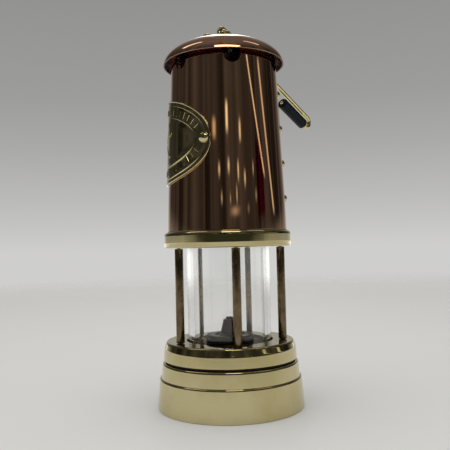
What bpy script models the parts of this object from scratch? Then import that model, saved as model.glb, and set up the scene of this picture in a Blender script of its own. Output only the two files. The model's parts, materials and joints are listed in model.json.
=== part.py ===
"""Miner's flame safety lamp: a brass oil vessel, a glass between pillars, a copper bonnet and a belt hook.

The origin is the centre of the foot's underside and +Z is up. The lamp's front is +X, its name plate
faces -Y and the bonnet's riveted seam faces +Y. Run it in Blender 4.5, or from the text editor.
"""

import math

import bmesh
import bpy
from mathutils import Matrix, Vector

mm = 0.001

# Clearances between pieces that touch, run or screw together
seat_gap = 0.3 * mm
thread_gap = 0.5 * mm
bore_gap = 0.3 * mm

# Glass, its washers and the seats they rest on
glass_radius = 24.3 * mm
glass_wall = 3.5 * mm
glass_length = 57.1 * mm
washer_thick = 1.0 * mm
seat_lip = 1.3 * mm

# Oil vessel: the foot tier, the waist tier and the threaded neck above them
foot_height = 17.9 * mm
foot_step = 1.1 * mm
foot_draft = 1.2 * mm
foot_rim = 4.1 * mm
foot_recess = 5.0 * mm
waist_height = 8.6 * mm
waist_step = 0.7 * mm
waist_draft = 0.6 * mm
neck_land = 2.7 * mm
neck_height = 6.6 * mm
neck_wall = 3.8 * mm
vessel_wall = 3.2 * mm
vessel_roof = 2.6 * mm
base_plate_thick = 1.5 * mm
seal_thick = 0.6 * mm
seal_width = 8.2 * mm
seal_inset = 1.6 * mm

# Lower ring, which the pillars stand on
lower_ring_height = 10.6 * mm
lower_ring_edge = 6.3 * mm
lower_ring_draft = 1.6 * mm
lower_lip_height = 3.1 * mm
retaining_ring_thick = 1.5 * mm

# Pillars and the screws that hold their tops
pillar_count = 5
pillar_radius = 2.35 * mm
pillar_setback = 4.0 * mm
pillar_first_angle = math.radians(8)
pillar_spigot_radius = 1.6 * mm
pillar_spigot_length = 4.5 * mm
pillar_screw_radius = 1.2 * mm
pillar_screw_reach = 6.0 * mm
screw_head_radius = 2.1 * mm
screw_head_height = 1.8 * mm

# Upper ring, with the spigot that the bonnet sits round
upper_ring_edge = 6.3 * mm
upper_ring_height = 9.4 * mm
upper_seat_depth = 3.3 * mm
spigot_height = 3.0 * mm

# Gauzes
gauze_wall = 0.5 * mm
gauze_seat = 1.0 * mm
gauze_spacing = 3.5 * mm
inner_gauze_taper = 3.0 * mm
outer_gauze_taper = 3.5 * mm
gauze_headroom = 15.4 * mm
gauze_crown_gap = 8.0 * mm
gauze_ring_wall = 2.4 * mm
gauze_ring_height = 4.4 * mm

# Bonnet, its vents and its seam
sheet = 0.9 * mm
bonnet_ledge = 2.2 * mm
bonnet_taper = 4.2 * mm
bonnet_height = 101.4 * mm
vent_pairs = 3
vent_width = 9.5 * mm
vent_depth = 9.9 * mm
vent_first_angle = math.radians(9)
seam_width = 9.0 * mm
seam_end_margin = 8.0 * mm
seam_rivet_count = 4
seam_rivet_foot = 18.4 * mm
seam_rivet_headroom = 21.0 * mm
seam_rivet_head = 2.25 * mm
rivet_shank = 1.0 * mm

# Name plate
plate_half_angle = math.radians(77)
plate_half_height = 24.5 * mm
plate_headroom = 49.7 * mm
plate_thick = 0.8 * mm
plate_tilt = math.radians(2)
plate_roundness = 2.15
plate_rivet_angle = math.radians(70)
plate_rivet_head = 2.9 * mm

# Cap, and the spider under it that stands in the bonnet's mouth
cap_overhang = 4.9 * mm
cap_rise = 15.5 * mm
cap_brim_drop = 3.4 * mm
cap_rivet_circle = 18.0 * mm
cap_rivet_head = 2.4 * mm
cap_rivet_first_angle = math.radians(-30)
cap_rivet_count = 4
spider_bore = 12.0 * mm
spider_flange = 23.0 * mm
spider_skirt = 5.7 * mm

# Staple on the crown, and the belt hook that swings on it
wire_radius = 1.4 * mm
staple_wire_radius = 1.3 * mm
staple_half_span = 5.5 * mm
staple_tail = 0.6 * mm
crown_washer_radius = 9.0 * mm
crown_washer_thick = 1.1 * mm
staple_nut_radius = 2.7 * mm
staple_nut_height = 1.7 * mm
hook_azimuth = math.radians(140.5)
hook_shank = 99.5 * mm
hook_bend_radius = 3.7 * mm
hook_eye_gap = math.radians(66)
grip_radius = 3.6 * mm
grip_length = 28.0 * mm
grip_start = 3.0 * mm
grip_tail = 1.2 * mm

# Burner, wick and the adjuster that raises the wick
burner_floor = 2.0 * mm
burner_floor_drop = 3.1 * mm
burner_chamber_radius = 12.6 * mm
burner_boss_height = 3.9 * mm
collar_radius = 13.9 * mm
collar_wall = 1.6 * mm
collar_height = 4.2 * mm
collar_roof = 1.8 * mm
collar_groove_inner = 6.4 * mm
collar_groove_outer = 8.8 * mm
collar_groove_depth = 1.0 * mm
cone_base_radius = 5.5 * mm
cone_top_radius = 3.5 * mm
cone_height = 8.2 * mm
cone_spigot_step = 1.5 * mm
wick_radius = 2.2 * mm
wick_proud = 1.4 * mm
wick_foot_height = 10.0 * mm
adjuster_offset = 8.0 * mm
spindle_radius = 1.5 * mm
adjuster_tube_wall = 0.8 * mm
holder_wall = 1.2 * mm
holder_thick = 3.0 * mm
holder_height = 4.2 * mm
knob_radius = 6.5 * mm
knob_height = 3.7 * mm
knob_floor = 1.0 * mm

# Filler plug and the packing that holds the fuel
plug_offset = 18.0 * mm
plug_radius = 4.0 * mm
plug_head_radius = 6.6 * mm
plug_head_height = 1.7 * mm
plug_reach = 2.5 * mm
plug_slot = 1.6 * mm
plug_washer_thick = 0.7 * mm
packing_margin = 1.0 * mm

# Radii that follow, from the glass outwards
glass_bore = glass_radius - glass_wall
washer_radius = glass_radius + seat_gap
lower_lip_bore = glass_radius + 3 * seat_gap
upper_seat_bore = glass_radius + 2 * seat_gap
burner_boss_radius = glass_bore - 3 * seat_gap
upper_ring_bore = glass_bore - seat_lip
neck_radius = glass_radius + neck_land
neck_bore = neck_radius - neck_wall
thread_bore = neck_radius + thread_gap
pillar_circle = neck_radius + pillar_setback
lower_ring_top_radius = pillar_circle + lower_ring_edge
lower_ring_radius = lower_ring_top_radius + lower_ring_draft
waist_top_radius = lower_ring_radius + waist_step
waist_radius = waist_top_radius + waist_draft
foot_top_radius = waist_radius + foot_step
foot_radius = foot_top_radius + foot_draft
foot_bore = foot_radius - foot_rim
vessel_bore = waist_radius - vessel_wall
upper_ring_radius = pillar_circle + upper_ring_edge
bonnet_base_radius = upper_ring_radius - bonnet_ledge
bonnet_top_radius = bonnet_base_radius - bonnet_taper
spigot_radius = bonnet_base_radius - sheet - 2 * bore_gap
cap_radius = bonnet_top_radius + cap_overhang
inner_gauze_base = upper_ring_bore + gauze_seat
outer_gauze_base = inner_gauze_base + gauze_spacing
cone_spigot = cone_base_radius - cone_spigot_step
holder_radius = wick_radius + holder_wall
adjuster_tube_radius = spindle_radius + bore_gap + adjuster_tube_wall
packing_inner = adjuster_offset + adjuster_tube_radius + packing_margin
eye_radius = staple_wire_radius + bore_gap + wire_radius

# Heights that follow, from the foot upwards
base_plate_base = foot_recess
base_plate_top = base_plate_base + base_plate_thick
vessel_floor = base_plate_top + seat_gap
shoulder = foot_height + waist_height
vessel_ceiling = shoulder - vessel_roof
neck_top = shoulder + neck_height
burner_floor_top = neck_top - burner_floor_drop
burner_floor_base = burner_floor_top - burner_floor
boss_top = neck_top + burner_boss_height
collar_base = boss_top + seat_gap
collar_top = collar_base + collar_height
collar_ceiling = collar_top - collar_roof
cone_base = collar_top + seat_gap
cone_top = cone_base + cone_height
seal_base = shoulder + seat_gap
lower_ring_base = seal_base + seal_thick + seat_gap
lower_ring_top = lower_ring_base + lower_ring_height
lower_lip_base = lower_ring_top - lower_lip_height
retaining_base = lower_lip_base - seat_gap - retaining_ring_thick
glass_base = lower_lip_base + washer_thick + seat_gap
glass_top = glass_base + glass_length
upper_washer_base = glass_top + seat_gap
upper_seat = upper_washer_base + washer_thick + seat_gap
upper_ring_base = upper_seat - upper_seat_depth
upper_ring_top = upper_ring_base + upper_ring_height
spigot_top = upper_ring_top + spigot_height
gauze_base = spigot_top + seat_gap
bonnet_base = upper_ring_top + seat_gap
bonnet_top = bonnet_base + bonnet_height
cap_base = bonnet_top - cap_brim_drop
crown = cap_base + cap_rise
pivot_height = crown + seat_gap + eye_radius + wire_radius

round_steps = 32
small_steps = 12
knob_steps = 16
arc_steps = 2
dome_steps = 9


def clear_scene():
    for thing in list(bpy.data.objects):
        bpy.data.objects.remove(thing, do_unlink=True)


def new_collection(name, hidden=False):
    group = bpy.data.collections.new(name)
    bpy.context.scene.collection.children.link(group)
    group.hide_render = hidden
    return group


def new_material(name, colour, roughness, metallic=0.0, transmission=0.0):
    material = bpy.data.materials.new(name)
    material.use_nodes = True
    shader = material.node_tree.nodes["Principled BSDF"]
    shader.inputs["Base Color"].default_value = (*colour, 1.0)
    shader.inputs["Roughness"].default_value = roughness
    shader.inputs["Metallic"].default_value = metallic
    shader.inputs["Transmission Weight"].default_value = transmission
    material.diffuse_color = (*colour, 1.0)
    return material


clear_scene()
parts = new_collection("miners_safety_lamp")
cutters = new_collection("cutters", hidden=True)
finishes = {
    "polished_brass": ((0.78, 0.60, 0.22), 0.15, 1.0, 0.0),
    "dark_brass": ((0.22, 0.15, 0.08), 0.35, 1.0, 0.0),
    "copper": ((0.45, 0.17, 0.10), 0.18, 1.0, 0.0),
    "glass": ((0.95, 0.97, 0.96), 0.03, 0.0, 1.0),
    "gauze": ((0.30, 0.29, 0.27), 0.45, 1.0, 0.0),
    "black_sleeve": ((0.01, 0.02, 0.03), 0.40, 0.0, 0.0),
    "washer": ((0.16, 0.10, 0.06), 0.80, 0.0, 0.0),
    "cotton": ((0.80, 0.77, 0.70), 0.95, 0.0, 0.0),
    "steel": ((0.45, 0.45, 0.46), 0.30, 1.0, 0.0),
}
bodies = {}


def own(thing, finish):
    """Gives an object its own material and files it with the parts."""
    thing.data.materials.append(new_material(thing.name, *finishes[finish]))
    for group in list(thing.users_collection):
        group.objects.unlink(thing)
    parts.objects.link(thing)
    return thing


def add_body(name, location=(0.0, 0.0, 0.0)):
    """An empty on a joint's axis, which the body's pieces hang from."""
    empty = bpy.data.objects.new(name + "_axis", None)
    empty.location = location
    empty.empty_display_size = 10 * mm
    parts.objects.link(empty)
    bodies[name] = empty


def attach(thing, body):
    empty = bodies[body]
    thing.parent = empty
    thing.matrix_parent_inverse = Matrix.Translation(empty.location).inverted()
    return thing


def rounded(corners):
    """Turns (radius, height, fillet) corners into points. A corner of two numbers stays sharp."""
    points = []
    count = len(corners)
    for index, corner in enumerate(corners):
        here = Vector(corner[:2])
        fillet = corner[2] if len(corner) > 2 else 0
        if not fillet:
            points.append(here)
            continue
        back = (Vector(corners[index - 1][:2]) - here).normalized()
        onward = (Vector(corners[(index + 1) % count][:2]) - here).normalized()
        half = back.angle(onward) / 2
        centre = here + (back + onward).normalized() * fillet / math.sin(half)
        start = here + back * fillet / math.tan(half) - centre
        end = here + onward * fillet / math.tan(half) - centre
        sweep = start.angle_signed(end)
        for step in range(arc_steps + 1):
            points.append(centre + Matrix.Rotation(-sweep * step / arc_steps, 2) @ start)
    return points


def turned(name, corners, finish, body, steps=round_steps, location=(0, 0, 0), direction=(0, 0, 1)):
    """A turned piece: its section starts at the top and runs down the outer side."""
    points = rounded(corners)
    mesh = bpy.data.meshes.new(name)
    vertices = [(point[0], 0, point[1]) for point in points]
    edges = [(index, index + 1) for index in range(len(points) - 1)]
    if points[0][0] > 0 or points[-1][0] > 0:
        edges.append((len(points) - 1, 0))
    mesh.from_pydata(vertices, edges, [])
    piece = bpy.data.objects.new(name, mesh)
    piece.location = location
    piece.rotation_euler = Vector(direction).to_track_quat("Z", "X").to_euler()
    screw = piece.modifiers.new("turn", "SCREW")
    screw.steps = screw.render_steps = steps
    screw.use_merge_vertices = True
    screw.merge_threshold = 0.000001
    own(piece, finish)
    return attach(piece, body)


def pipe(name, inner, outer, base, top, finish, body, steps=round_steps, location=(0, 0, 0)):
    corners = [(inner, top), (outer, top), (outer, base), (inner, base)]
    return turned(name, corners, finish, body, steps, location)


def cutter_of(thing):
    for group in list(thing.users_collection):
        group.objects.unlink(thing)
    cutters.objects.link(thing)
    thing.display_type = "WIRE"
    thing.hide_render = True
    return thing


def rod_cutter(name, radius, centre, direction, length, steps=small_steps):
    bpy.ops.mesh.primitive_cylinder_add(vertices=steps, radius=radius, depth=length, location=centre)
    tool = bpy.context.object
    tool.name = name
    tool.rotation_euler = Vector(direction).to_track_quat("Z", "X").to_euler()
    return cutter_of(tool)


def box_cutter(name, size, centre, turn=0.0):
    bpy.ops.mesh.primitive_cube_add(size=1, location=centre, rotation=(0, 0, turn))
    tool = bpy.context.object
    tool.name = name
    tool.scale = size
    return cutter_of(tool)


def cut(piece, tool, operation="DIFFERENCE"):
    boolean = piece.modifiers.new(tool.name, "BOOLEAN")
    boolean.operation = operation
    boolean.object = tool
    return piece


def outline(name, splines, thickness, finish=None):
    """A flat plate in its own XY plane, centred on it. Splines after the first are holes."""
    curve = bpy.data.curves.new(name, "CURVE")
    curve.dimensions = "2D"
    curve.fill_mode = "BOTH"
    curve.extrude = thickness / 2
    for points in splines:
        spline = curve.splines.new("POLY")
        spline.points.add(len(points) - 1)
        spline.use_cyclic_u = True
        for knot, (across, along) in zip(spline.points, points):
            knot.co = (across, along, 0, 1)
    plate = bpy.data.objects.new(name, curve)
    parts.objects.link(plate)
    return own(plate, finish) if finish else plate


def wire(name, points, radius):
    """A wire along points in its own XZ plane, as a closed mesh."""
    curve = bpy.data.curves.new(name, "CURVE")
    curve.dimensions = "3D"
    curve.bevel_depth = radius
    curve.bevel_resolution = 2
    curve.use_fill_caps = True
    spline = curve.splines.new("POLY")
    spline.points.add(len(points) - 1)
    for knot, point in zip(spline.points, points):
        knot.co = (point[0], 0, point[1], 1)
    rod = bpy.data.objects.new(name, curve)
    parts.objects.link(rod)
    return rod


def as_mesh(curved):
    """Replaces a curve, or a mesh with modifiers, by the welded mesh it draws."""
    bpy.context.view_layer.update()
    graph = bpy.context.evaluated_depsgraph_get()
    mesh = bpy.data.meshes.new_from_object(curved.evaluated_get(graph))
    weld(mesh)
    name, place = curved.name, curved.matrix_world.copy()
    bpy.data.objects.remove(curved)
    solid = bpy.data.objects.new(name, mesh)
    solid.matrix_world = place
    parts.objects.link(solid)
    return solid


def weld(mesh):
    edit = bmesh.new()
    edit.from_mesh(mesh)
    bmesh.ops.remove_doubles(edit, verts=edit.verts, dist=0.000001)
    bmesh.ops.recalc_face_normals(edit, faces=edit.faces)
    edit.to_mesh(mesh)
    edit.free()


def circle(radius, centre=(0, 0), steps=small_steps):
    turns = [math.tau * step / steps for step in range(steps)]
    return [(centre[0] + radius * math.cos(turn), centre[1] + radius * math.sin(turn)) for turn in turns]


def around(angle, radius, height=0.0):
    return Vector((radius * math.cos(angle), radius * math.sin(angle), height))


def bonnet_radius(height):
    """Outer radius of the tapering bonnet at a height above the foot."""
    share = (height - bonnet_base) / bonnet_height
    return bonnet_base_radius + (bonnet_top_radius - bonnet_base_radius) * share


bonnet_slope = math.atan((bonnet_base_radius - bonnet_top_radius) / bonnet_height)


def bonnet_normal(angle):
    return around(angle, math.cos(bonnet_slope), math.sin(bonnet_slope))


def dome_point(angle, depth=0.0):
    """A point of the cap's section at an angle from its crown, at a depth under its outer skin."""
    normal = Vector((math.sin(angle) / cap_radius, math.cos(angle) / cap_rise)).normalized()
    skin = Vector((cap_radius * math.sin(angle), cap_base + cap_rise * math.cos(angle)))
    return skin - normal * depth


def dome_run(start, end, depth, steps):
    return [dome_point(start + (end - start) * step / steps, depth) for step in range(steps + 1)]


def rivet(name, skin, direction, grip, head, finish, body):
    """A domed rivet through material that is grip thick, from a point on its outer skin."""
    head_height = 0.62 * head
    tail = -grip - seat_gap
    section = [
        (0, seat_gap + head_height),
        (0.55 * head, seat_gap + 0.86 * head_height),
        (0.88 * head, seat_gap + 0.48 * head_height),
        (head, seat_gap),
        (rivet_shank, seat_gap),
        (rivet_shank, tail),
        (1.7 * rivet_shank, tail),
        (1.5 * rivet_shank, tail - 0.7 * rivet_shank),
        (0, tail - 0.9 * rivet_shank),
    ]
    return turned(name, section, finish, body, small_steps, skin, direction)


def rivet_hole(piece, name, skin, direction):
    return cut(piece, rod_cutter(name, rivet_shank + bore_gap, skin, direction, 9 * mm))


def build_vessel():
    vessel = [
        (neck_bore, neck_top),
        (neck_radius, neck_top, 0.4 * mm),
        (neck_radius, shoulder),
        (waist_top_radius, shoulder, 1.2 * mm),
        (waist_radius, foot_height),
        (foot_top_radius, foot_height, 0.9 * mm),
        (foot_radius, 0, 0.5 * mm),
        (foot_bore, 0),
        (foot_bore, vessel_floor),
        (vessel_bore, vessel_floor),
        (vessel_bore, vessel_ceiling),
        (neck_bore, vessel_ceiling),
    ]
    turned("fuel_vessel", vessel, "polished_brass", "vessel")
    plate_radius = foot_bore - bore_gap
    disc = [
        (0, base_plate_top),
        (plate_radius, base_plate_top),
        (plate_radius, base_plate_base),
        (0, base_plate_base),
    ]
    plate = turned("vessel_base_plate", disc, "polished_brass", "vessel")
    middle = base_plate_base + base_plate_thick / 2
    reach = 3 * base_plate_thick
    bores = (("adjuster_bore", -adjuster_offset, spindle_radius), ("filler_bore", plug_offset, plug_radius))
    for name, offset, radius in bores:
        cut(plate, rod_cutter(name, radius + bore_gap, (offset, 0, middle), (0, 0, 1), reach, knob_steps))
    packing_outer = vessel_bore - packing_margin
    packing_base = base_plate_top + plug_reach + seat_gap + packing_margin
    packing_top = vessel_ceiling - packing_margin
    pipe("cotton_packing", packing_inner, packing_outer, packing_base, packing_top, "cotton", "vessel")


def build_burner():
    floor_radius = neck_bore - bore_gap
    plate = [
        (burner_chamber_radius, boss_top),
        (burner_boss_radius, boss_top, 0.5 * mm),
        (burner_boss_radius, neck_top),
        (floor_radius, neck_top),
        (floor_radius, burner_floor_base),
        (holder_radius, burner_floor_base),
        (holder_radius, burner_floor_top),
        (burner_chamber_radius, burner_floor_top),
    ]
    plate = turned("burner_plate", plate, "dark_brass", "vessel")
    centre = (-adjuster_offset, 0, burner_floor_base + burner_floor / 2)
    bore = spindle_radius + bore_gap
    cut(plate, rod_cutter("spindle_bore", bore, centre, (0, 0, 1), 3 * burner_floor, knob_steps))
    collar = [
        (collar_groove_outer, collar_top),
        (collar_radius, collar_top, 0.6 * mm),
        (collar_radius, collar_base),
        (collar_radius - collar_wall, collar_base),
        (collar_radius - collar_wall, collar_ceiling),
        (cone_spigot + bore_gap, collar_ceiling),
        (cone_spigot + bore_gap, collar_top),
        (collar_groove_inner, collar_top),
        (collar_groove_inner, collar_top - collar_groove_depth),
        (collar_groove_outer, collar_top - collar_groove_depth),
    ]
    turned("burner_collar", collar, "dark_brass", "vessel")
    cone_bore = wick_radius + bore_gap
    cone = [
        (cone_bore, cone_top),
        (cone_top_radius, cone_top, 0.3 * mm),
        (cone_base_radius, cone_base),
        (cone_spigot, cone_base),
        (cone_spigot, collar_ceiling),
        (cone_bore, collar_ceiling),
    ]
    turned("burner_cone", cone, "dark_brass", "vessel", knob_steps)
    wick_top = cone_top + wick_proud
    wick = [
        (0, wick_top),
        (wick_radius, wick_top, 0.8 * mm),
        (wick_radius, wick_foot_height),
        (0, wick_foot_height),
    ]
    turned("wick", wick, "cotton", "wick", small_steps)


def build_adjuster():
    place = (-adjuster_offset, 0, 0)
    tube_bore = spindle_radius + bore_gap
    tube = (tube_bore, adjuster_tube_radius, vessel_floor, burner_floor_base - seat_gap)
    pipe("adjuster_tube", *tube, "dark_brass", "vessel", knob_steps, place)
    knob_top = base_plate_base - seat_gap
    knob_base = knob_top - knob_height
    socket_floor = knob_base + knob_floor
    knob = [
        (0, socket_floor),
        (tube_bore, socket_floor),
        (tube_bore, knob_top),
        (knob_radius, knob_top, 0.4 * mm),
        (knob_radius, knob_base, 0.4 * mm),
        (0, knob_base),
    ]
    turned("adjuster_knob", knob, "polished_brass", "adjuster", knob_steps, place)
    spindle_base = socket_floor + seat_gap
    spindle_top = collar_ceiling - seat_gap
    rod = [(0, spindle_top), (spindle_radius, spindle_top), (spindle_radius, spindle_base), (0, spindle_base)]
    turned("adjuster_spindle", rod, "steel", "adjuster", knob_steps, place)
    turns = [math.pi * step / 10 for step in range(11)]
    right = [(holder_radius * math.sin(turn), -holder_radius * math.cos(turn)) for turn in turns]
    left = [(-adjuster_offset - across, -along) for across, along in right]
    holes = [circle(wick_radius + bore_gap)[::-1], circle(spindle_radius + bore_gap, place)[::-1]]
    holder = outline("wick_holder", [right + left] + holes, holder_thick, "dark_brass")
    holder.location = (0, 0, burner_floor_top + holder_height + holder_thick / 2)
    attach(holder, "wick")


def build_filler():
    place = (plug_offset, 0, 0)
    washer_top = base_plate_base - seat_gap
    washer_base = washer_top - plug_washer_thick
    bore = plug_radius + bore_gap
    washer = (bore, plug_head_radius, washer_base, washer_top)
    pipe("filler_washer", *washer, "washer", "filler_seat", knob_steps, place)
    head_top = washer_base - seat_gap
    head_base = head_top - plug_head_height
    plug_top = base_plate_top + plug_reach
    section = [
        (0, plug_top),
        (plug_radius, plug_top, 0.4 * mm),
        (plug_radius, head_top),
        (plug_head_radius, head_top),
        (plug_head_radius, head_base, 0.4 * mm),
        (0, head_base),
    ]
    plug = turned("filler_plug", section, "polished_brass", "filler", knob_steps, place)
    slot = box_cutter("coin_slot", (3 * plug_head_radius, plug_slot, plug_slot), (plug_offset, 0, head_base))
    cut(plug, slot)


def build_lower_ring():
    inner = waist_top_radius - seal_inset - seal_width
    pipe("vessel_seal", inner, inner + seal_width, seal_base, seal_base + seal_thick, "washer", "seal")
    section = [
        (lower_lip_bore, lower_ring_top),
        (lower_ring_top_radius, lower_ring_top, 1.9 * mm),
        (lower_ring_radius, lower_ring_base, 0.4 * mm),
        (thread_bore, lower_ring_base),
        (thread_bore, lower_lip_base),
        (lower_lip_bore, lower_lip_base),
    ]
    ring = turned("lower_ring", section, "polished_brass", "frame")
    depth = pillar_spigot_length + seat_gap
    for number in range(pillar_count):
        centre = around(pillar_angle(number), pillar_circle, lower_ring_top)
        bore = pillar_spigot_radius + bore_gap
        cut(ring, rod_cutter(f"socket_{number + 1}", bore, centre, (0, 0, 1), 2 * depth))
    screwed = (glass_bore + 2 * seat_gap, neck_radius, retaining_base, retaining_base + retaining_ring_thick)
    pipe("glass_retaining_ring", *screwed, "dark_brass", "frame")


def build_glass():
    low = (glass_bore, washer_radius, lower_lip_base, lower_lip_base + washer_thick)
    pipe("lower_glass_washer", *low, "washer", "frame")
    pipe("glass_cylinder", glass_bore, glass_radius, glass_base, glass_top, "glass", "frame")
    high = (glass_bore, washer_radius, upper_washer_base, upper_washer_base + washer_thick)
    pipe("upper_glass_washer", *high, "washer", "frame")


def pillar_angle(number):
    return pillar_first_angle + math.tau * number / pillar_count


def build_pillars():
    low = lower_ring_top + seat_gap
    high = upper_ring_base - seat_gap
    tapped = pillar_screw_radius + bore_gap
    tapped_depth = pillar_screw_reach + seat_gap
    head_base = spigot_top + seat_gap
    for number in range(pillar_count):
        place = around(pillar_angle(number), pillar_circle)
        section = [
            (0, high - tapped_depth),
            (tapped, high - tapped_depth),
            (tapped, high),
            (pillar_radius, high),
            (pillar_radius, low),
            (pillar_spigot_radius, low),
            (pillar_spigot_radius, lower_ring_top - pillar_spigot_length),
            (0, lower_ring_top - pillar_spigot_length),
        ]
        turned(f"pillar_{number + 1}", section, "dark_brass", "frame", small_steps, place)
        screw = [
            (0, head_base + screw_head_height),
            (screw_head_radius, head_base + screw_head_height),
            (screw_head_radius, head_base),
            (pillar_screw_radius, head_base),
            (pillar_screw_radius, high - pillar_screw_reach),
            (0, high - pillar_screw_reach),
        ]
        turned(f"pillar_screw_{number + 1}", screw, "steel", "frame", small_steps, place)


def build_upper_ring():
    section = [
        (upper_ring_bore, spigot_top),
        (spigot_radius, spigot_top),
        (spigot_radius, upper_ring_top),
        (upper_ring_radius, upper_ring_top, 2.5 * mm),
        (upper_ring_radius, upper_ring_base, 1.5 * mm),
        (upper_seat_bore, upper_ring_base),
        (upper_seat_bore, upper_seat),
        (upper_ring_bore, upper_seat),
    ]
    ring = turned("upper_ring", section, "polished_brass", "frame")
    middle = (upper_ring_base + spigot_top) / 2
    reach = 2 * (spigot_top - upper_ring_base)
    for number in range(pillar_count):
        centre = around(pillar_angle(number), pillar_circle, middle)
        radius = pillar_screw_radius + bore_gap
        cut(ring, rod_cutter(f"screw_bore_{number + 1}", radius, centre, (0, 0, 1), reach))


def build_gauzes():
    outer_crest = bonnet_top - gauze_headroom
    sizes = {
        "outer_gauze": (outer_gauze_base, outer_gauze_taper, outer_crest),
        "inner_gauze": (inner_gauze_base, inner_gauze_taper, outer_crest - gauze_crown_gap),
    }
    for name, (base, taper, crest) in sizes.items():
        top = base - taper
        section = [
            (0, crest),
            (top, crest),
            (base, gauze_base),
            (base - gauze_wall, gauze_base),
            (top - gauze_wall, crest - gauze_wall),
            (0, crest - gauze_wall),
        ]
        turned(name, section, "gauze", "frame")
    inner = outer_gauze_base + bore_gap
    collar = (inner, inner + gauze_ring_wall, gauze_base, gauze_base + gauze_ring_height)
    pipe("gauze_ring", *collar, "dark_brass", "frame")


def vent_cutters():
    """Each cutter runs right across, so it opens two vents that face each other."""
    tools = []
    half = vent_width / 2
    foot = bonnet_top - vent_depth + half
    head = bonnet_top + 2 * seat_gap
    turns = [math.pi * step / 10 for step in range(11)]
    for number in range(vent_pairs):
        shape = [(-half * math.cos(turn), foot - half * math.sin(turn)) for turn in turns]
        tool = outline(f"vents_{number + 1}", [shape + [(half, head), (-half, head)]], 3 * cap_radius)
        tool.rotation_euler = (math.pi / 2, 0, math.pi / 2 + vent_first_angle + math.pi * number / vent_pairs)
        tools.append(cutter_of(as_mesh(tool)))
    return tools


def build_bonnet(vents):
    section = [
        (bonnet_top_radius - sheet, bonnet_top),
        (bonnet_top_radius, bonnet_top),
        (bonnet_base_radius, bonnet_base),
        (bonnet_base_radius - sheet, bonnet_base),
    ]
    bonnet = turned("bonnet", section, "copper", "frame")
    for tool in vents:
        cut(bonnet, tool)
    seam_angle = math.pi / 2
    strip_gap = 2 * seat_gap
    middle = bonnet_base + bonnet_height / 2
    depth = sheet + strip_gap + sheet / 2
    place = around(seam_angle, bonnet_radius(middle), middle) - bonnet_normal(seam_angle) * depth
    bpy.ops.mesh.primitive_cube_add(size=1, location=place)
    strip = bpy.context.object
    strip.name = "seam_strip"
    strip.scale = (seam_width, sheet, bonnet_height - 2 * seam_end_margin - vent_depth)
    strip.rotation_euler = (bonnet_slope, 0, 0)
    attach(own(strip, "copper"), "frame")
    pitch = (bonnet_height - seam_rivet_foot - seam_rivet_headroom) / (seam_rivet_count - 1)
    for number in range(1, seam_rivet_count + 1):
        height = bonnet_base + seam_rivet_foot + pitch * (number - 1)
        skin = around(seam_angle, bonnet_radius(height), height)
        facing = bonnet_normal(seam_angle)
        grip = 2 * sheet + strip_gap
        rivet(f"seam_rivet_{number}", skin, facing, grip, seam_rivet_head, "polished_brass", "frame")
        tool = rivet_hole(bonnet, f"seam_bore_{number}", skin, facing).modifiers[-1].object
        cut(strip, tool)
    return bonnet


def build_name_plate(bonnet):
    """A flat oval cut from a strip of plate, then wrapped round the bonnet."""
    centre = bonnet_top - plate_headroom
    skin_radius = bonnet_radius(centre) + seat_gap + plate_thick
    half_length = plate_half_angle * skin_radius
    power = 2 / plate_roundness
    shape = []
    for step in range(44):
        turn = math.tau * step / 44
        across = math.copysign(abs(math.cos(turn)) ** power, math.cos(turn)) * half_length
        along = math.copysign(abs(math.sin(turn)) ** power, math.sin(turn)) * plate_half_height
        shape.append((across, along - plate_drop(across)))
    tool = cutter_of(as_mesh(outline("plate_outline", [shape], 4 * plate_thick)))
    blank = bpy.data.meshes.new("name_plate")
    edit = bmesh.new()
    bmesh.ops.create_grid(edit, x_segments=24, y_segments=1, size=1.1)
    bmesh.ops.scale(edit, vec=(half_length, plate_half_height, 1), verts=edit.verts)
    bmesh.ops.solidify(edit, geom=edit.faces, thickness=plate_thick)
    level = max(vertex.co.z for vertex in edit.verts)
    bmesh.ops.translate(edit, vec=(0, 0, plate_thick - level), verts=edit.verts)
    bmesh.ops.recalc_face_normals(edit, faces=edit.faces)
    edit.to_mesh(blank)
    edit.free()
    flat = bpy.data.objects.new("flat_plate", blank)
    parts.objects.link(flat)
    cut(flat, tool, "INTERSECT")
    flat_mesh = as_mesh(flat).data
    for vertex in flat_mesh.vertices:
        across, along, depth = vertex.co
        height = centre + along
        radius = bonnet_radius(height) + seat_gap + depth
        vertex.co = around(across / skin_radius - math.pi / 2, radius, height)
    bpy.data.objects.remove(bpy.data.objects["flat_plate"])
    plate = attach(own(bpy.data.objects.new("name_plate", flat_mesh), "polished_brass"), "frame")
    for number, side in enumerate((1, -1), 1):
        turn = side * plate_rivet_angle
        height = centre - plate_drop(turn * skin_radius)
        angle = turn - math.pi / 2
        skin = around(angle, bonnet_radius(height) + seat_gap + plate_thick, height)
        facing = bonnet_normal(angle)
        grip = plate_thick + seat_gap + sheet
        rivet(f"plate_rivet_{number}", skin, facing, grip, plate_rivet_head, "polished_brass", "frame")
        tool = rivet_hole(bonnet, f"plate_bore_{number}", skin, facing).modifiers[-1].object
        cut(plate, tool)


def plate_drop(across):
    return math.tan(plate_tilt) * across


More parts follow.
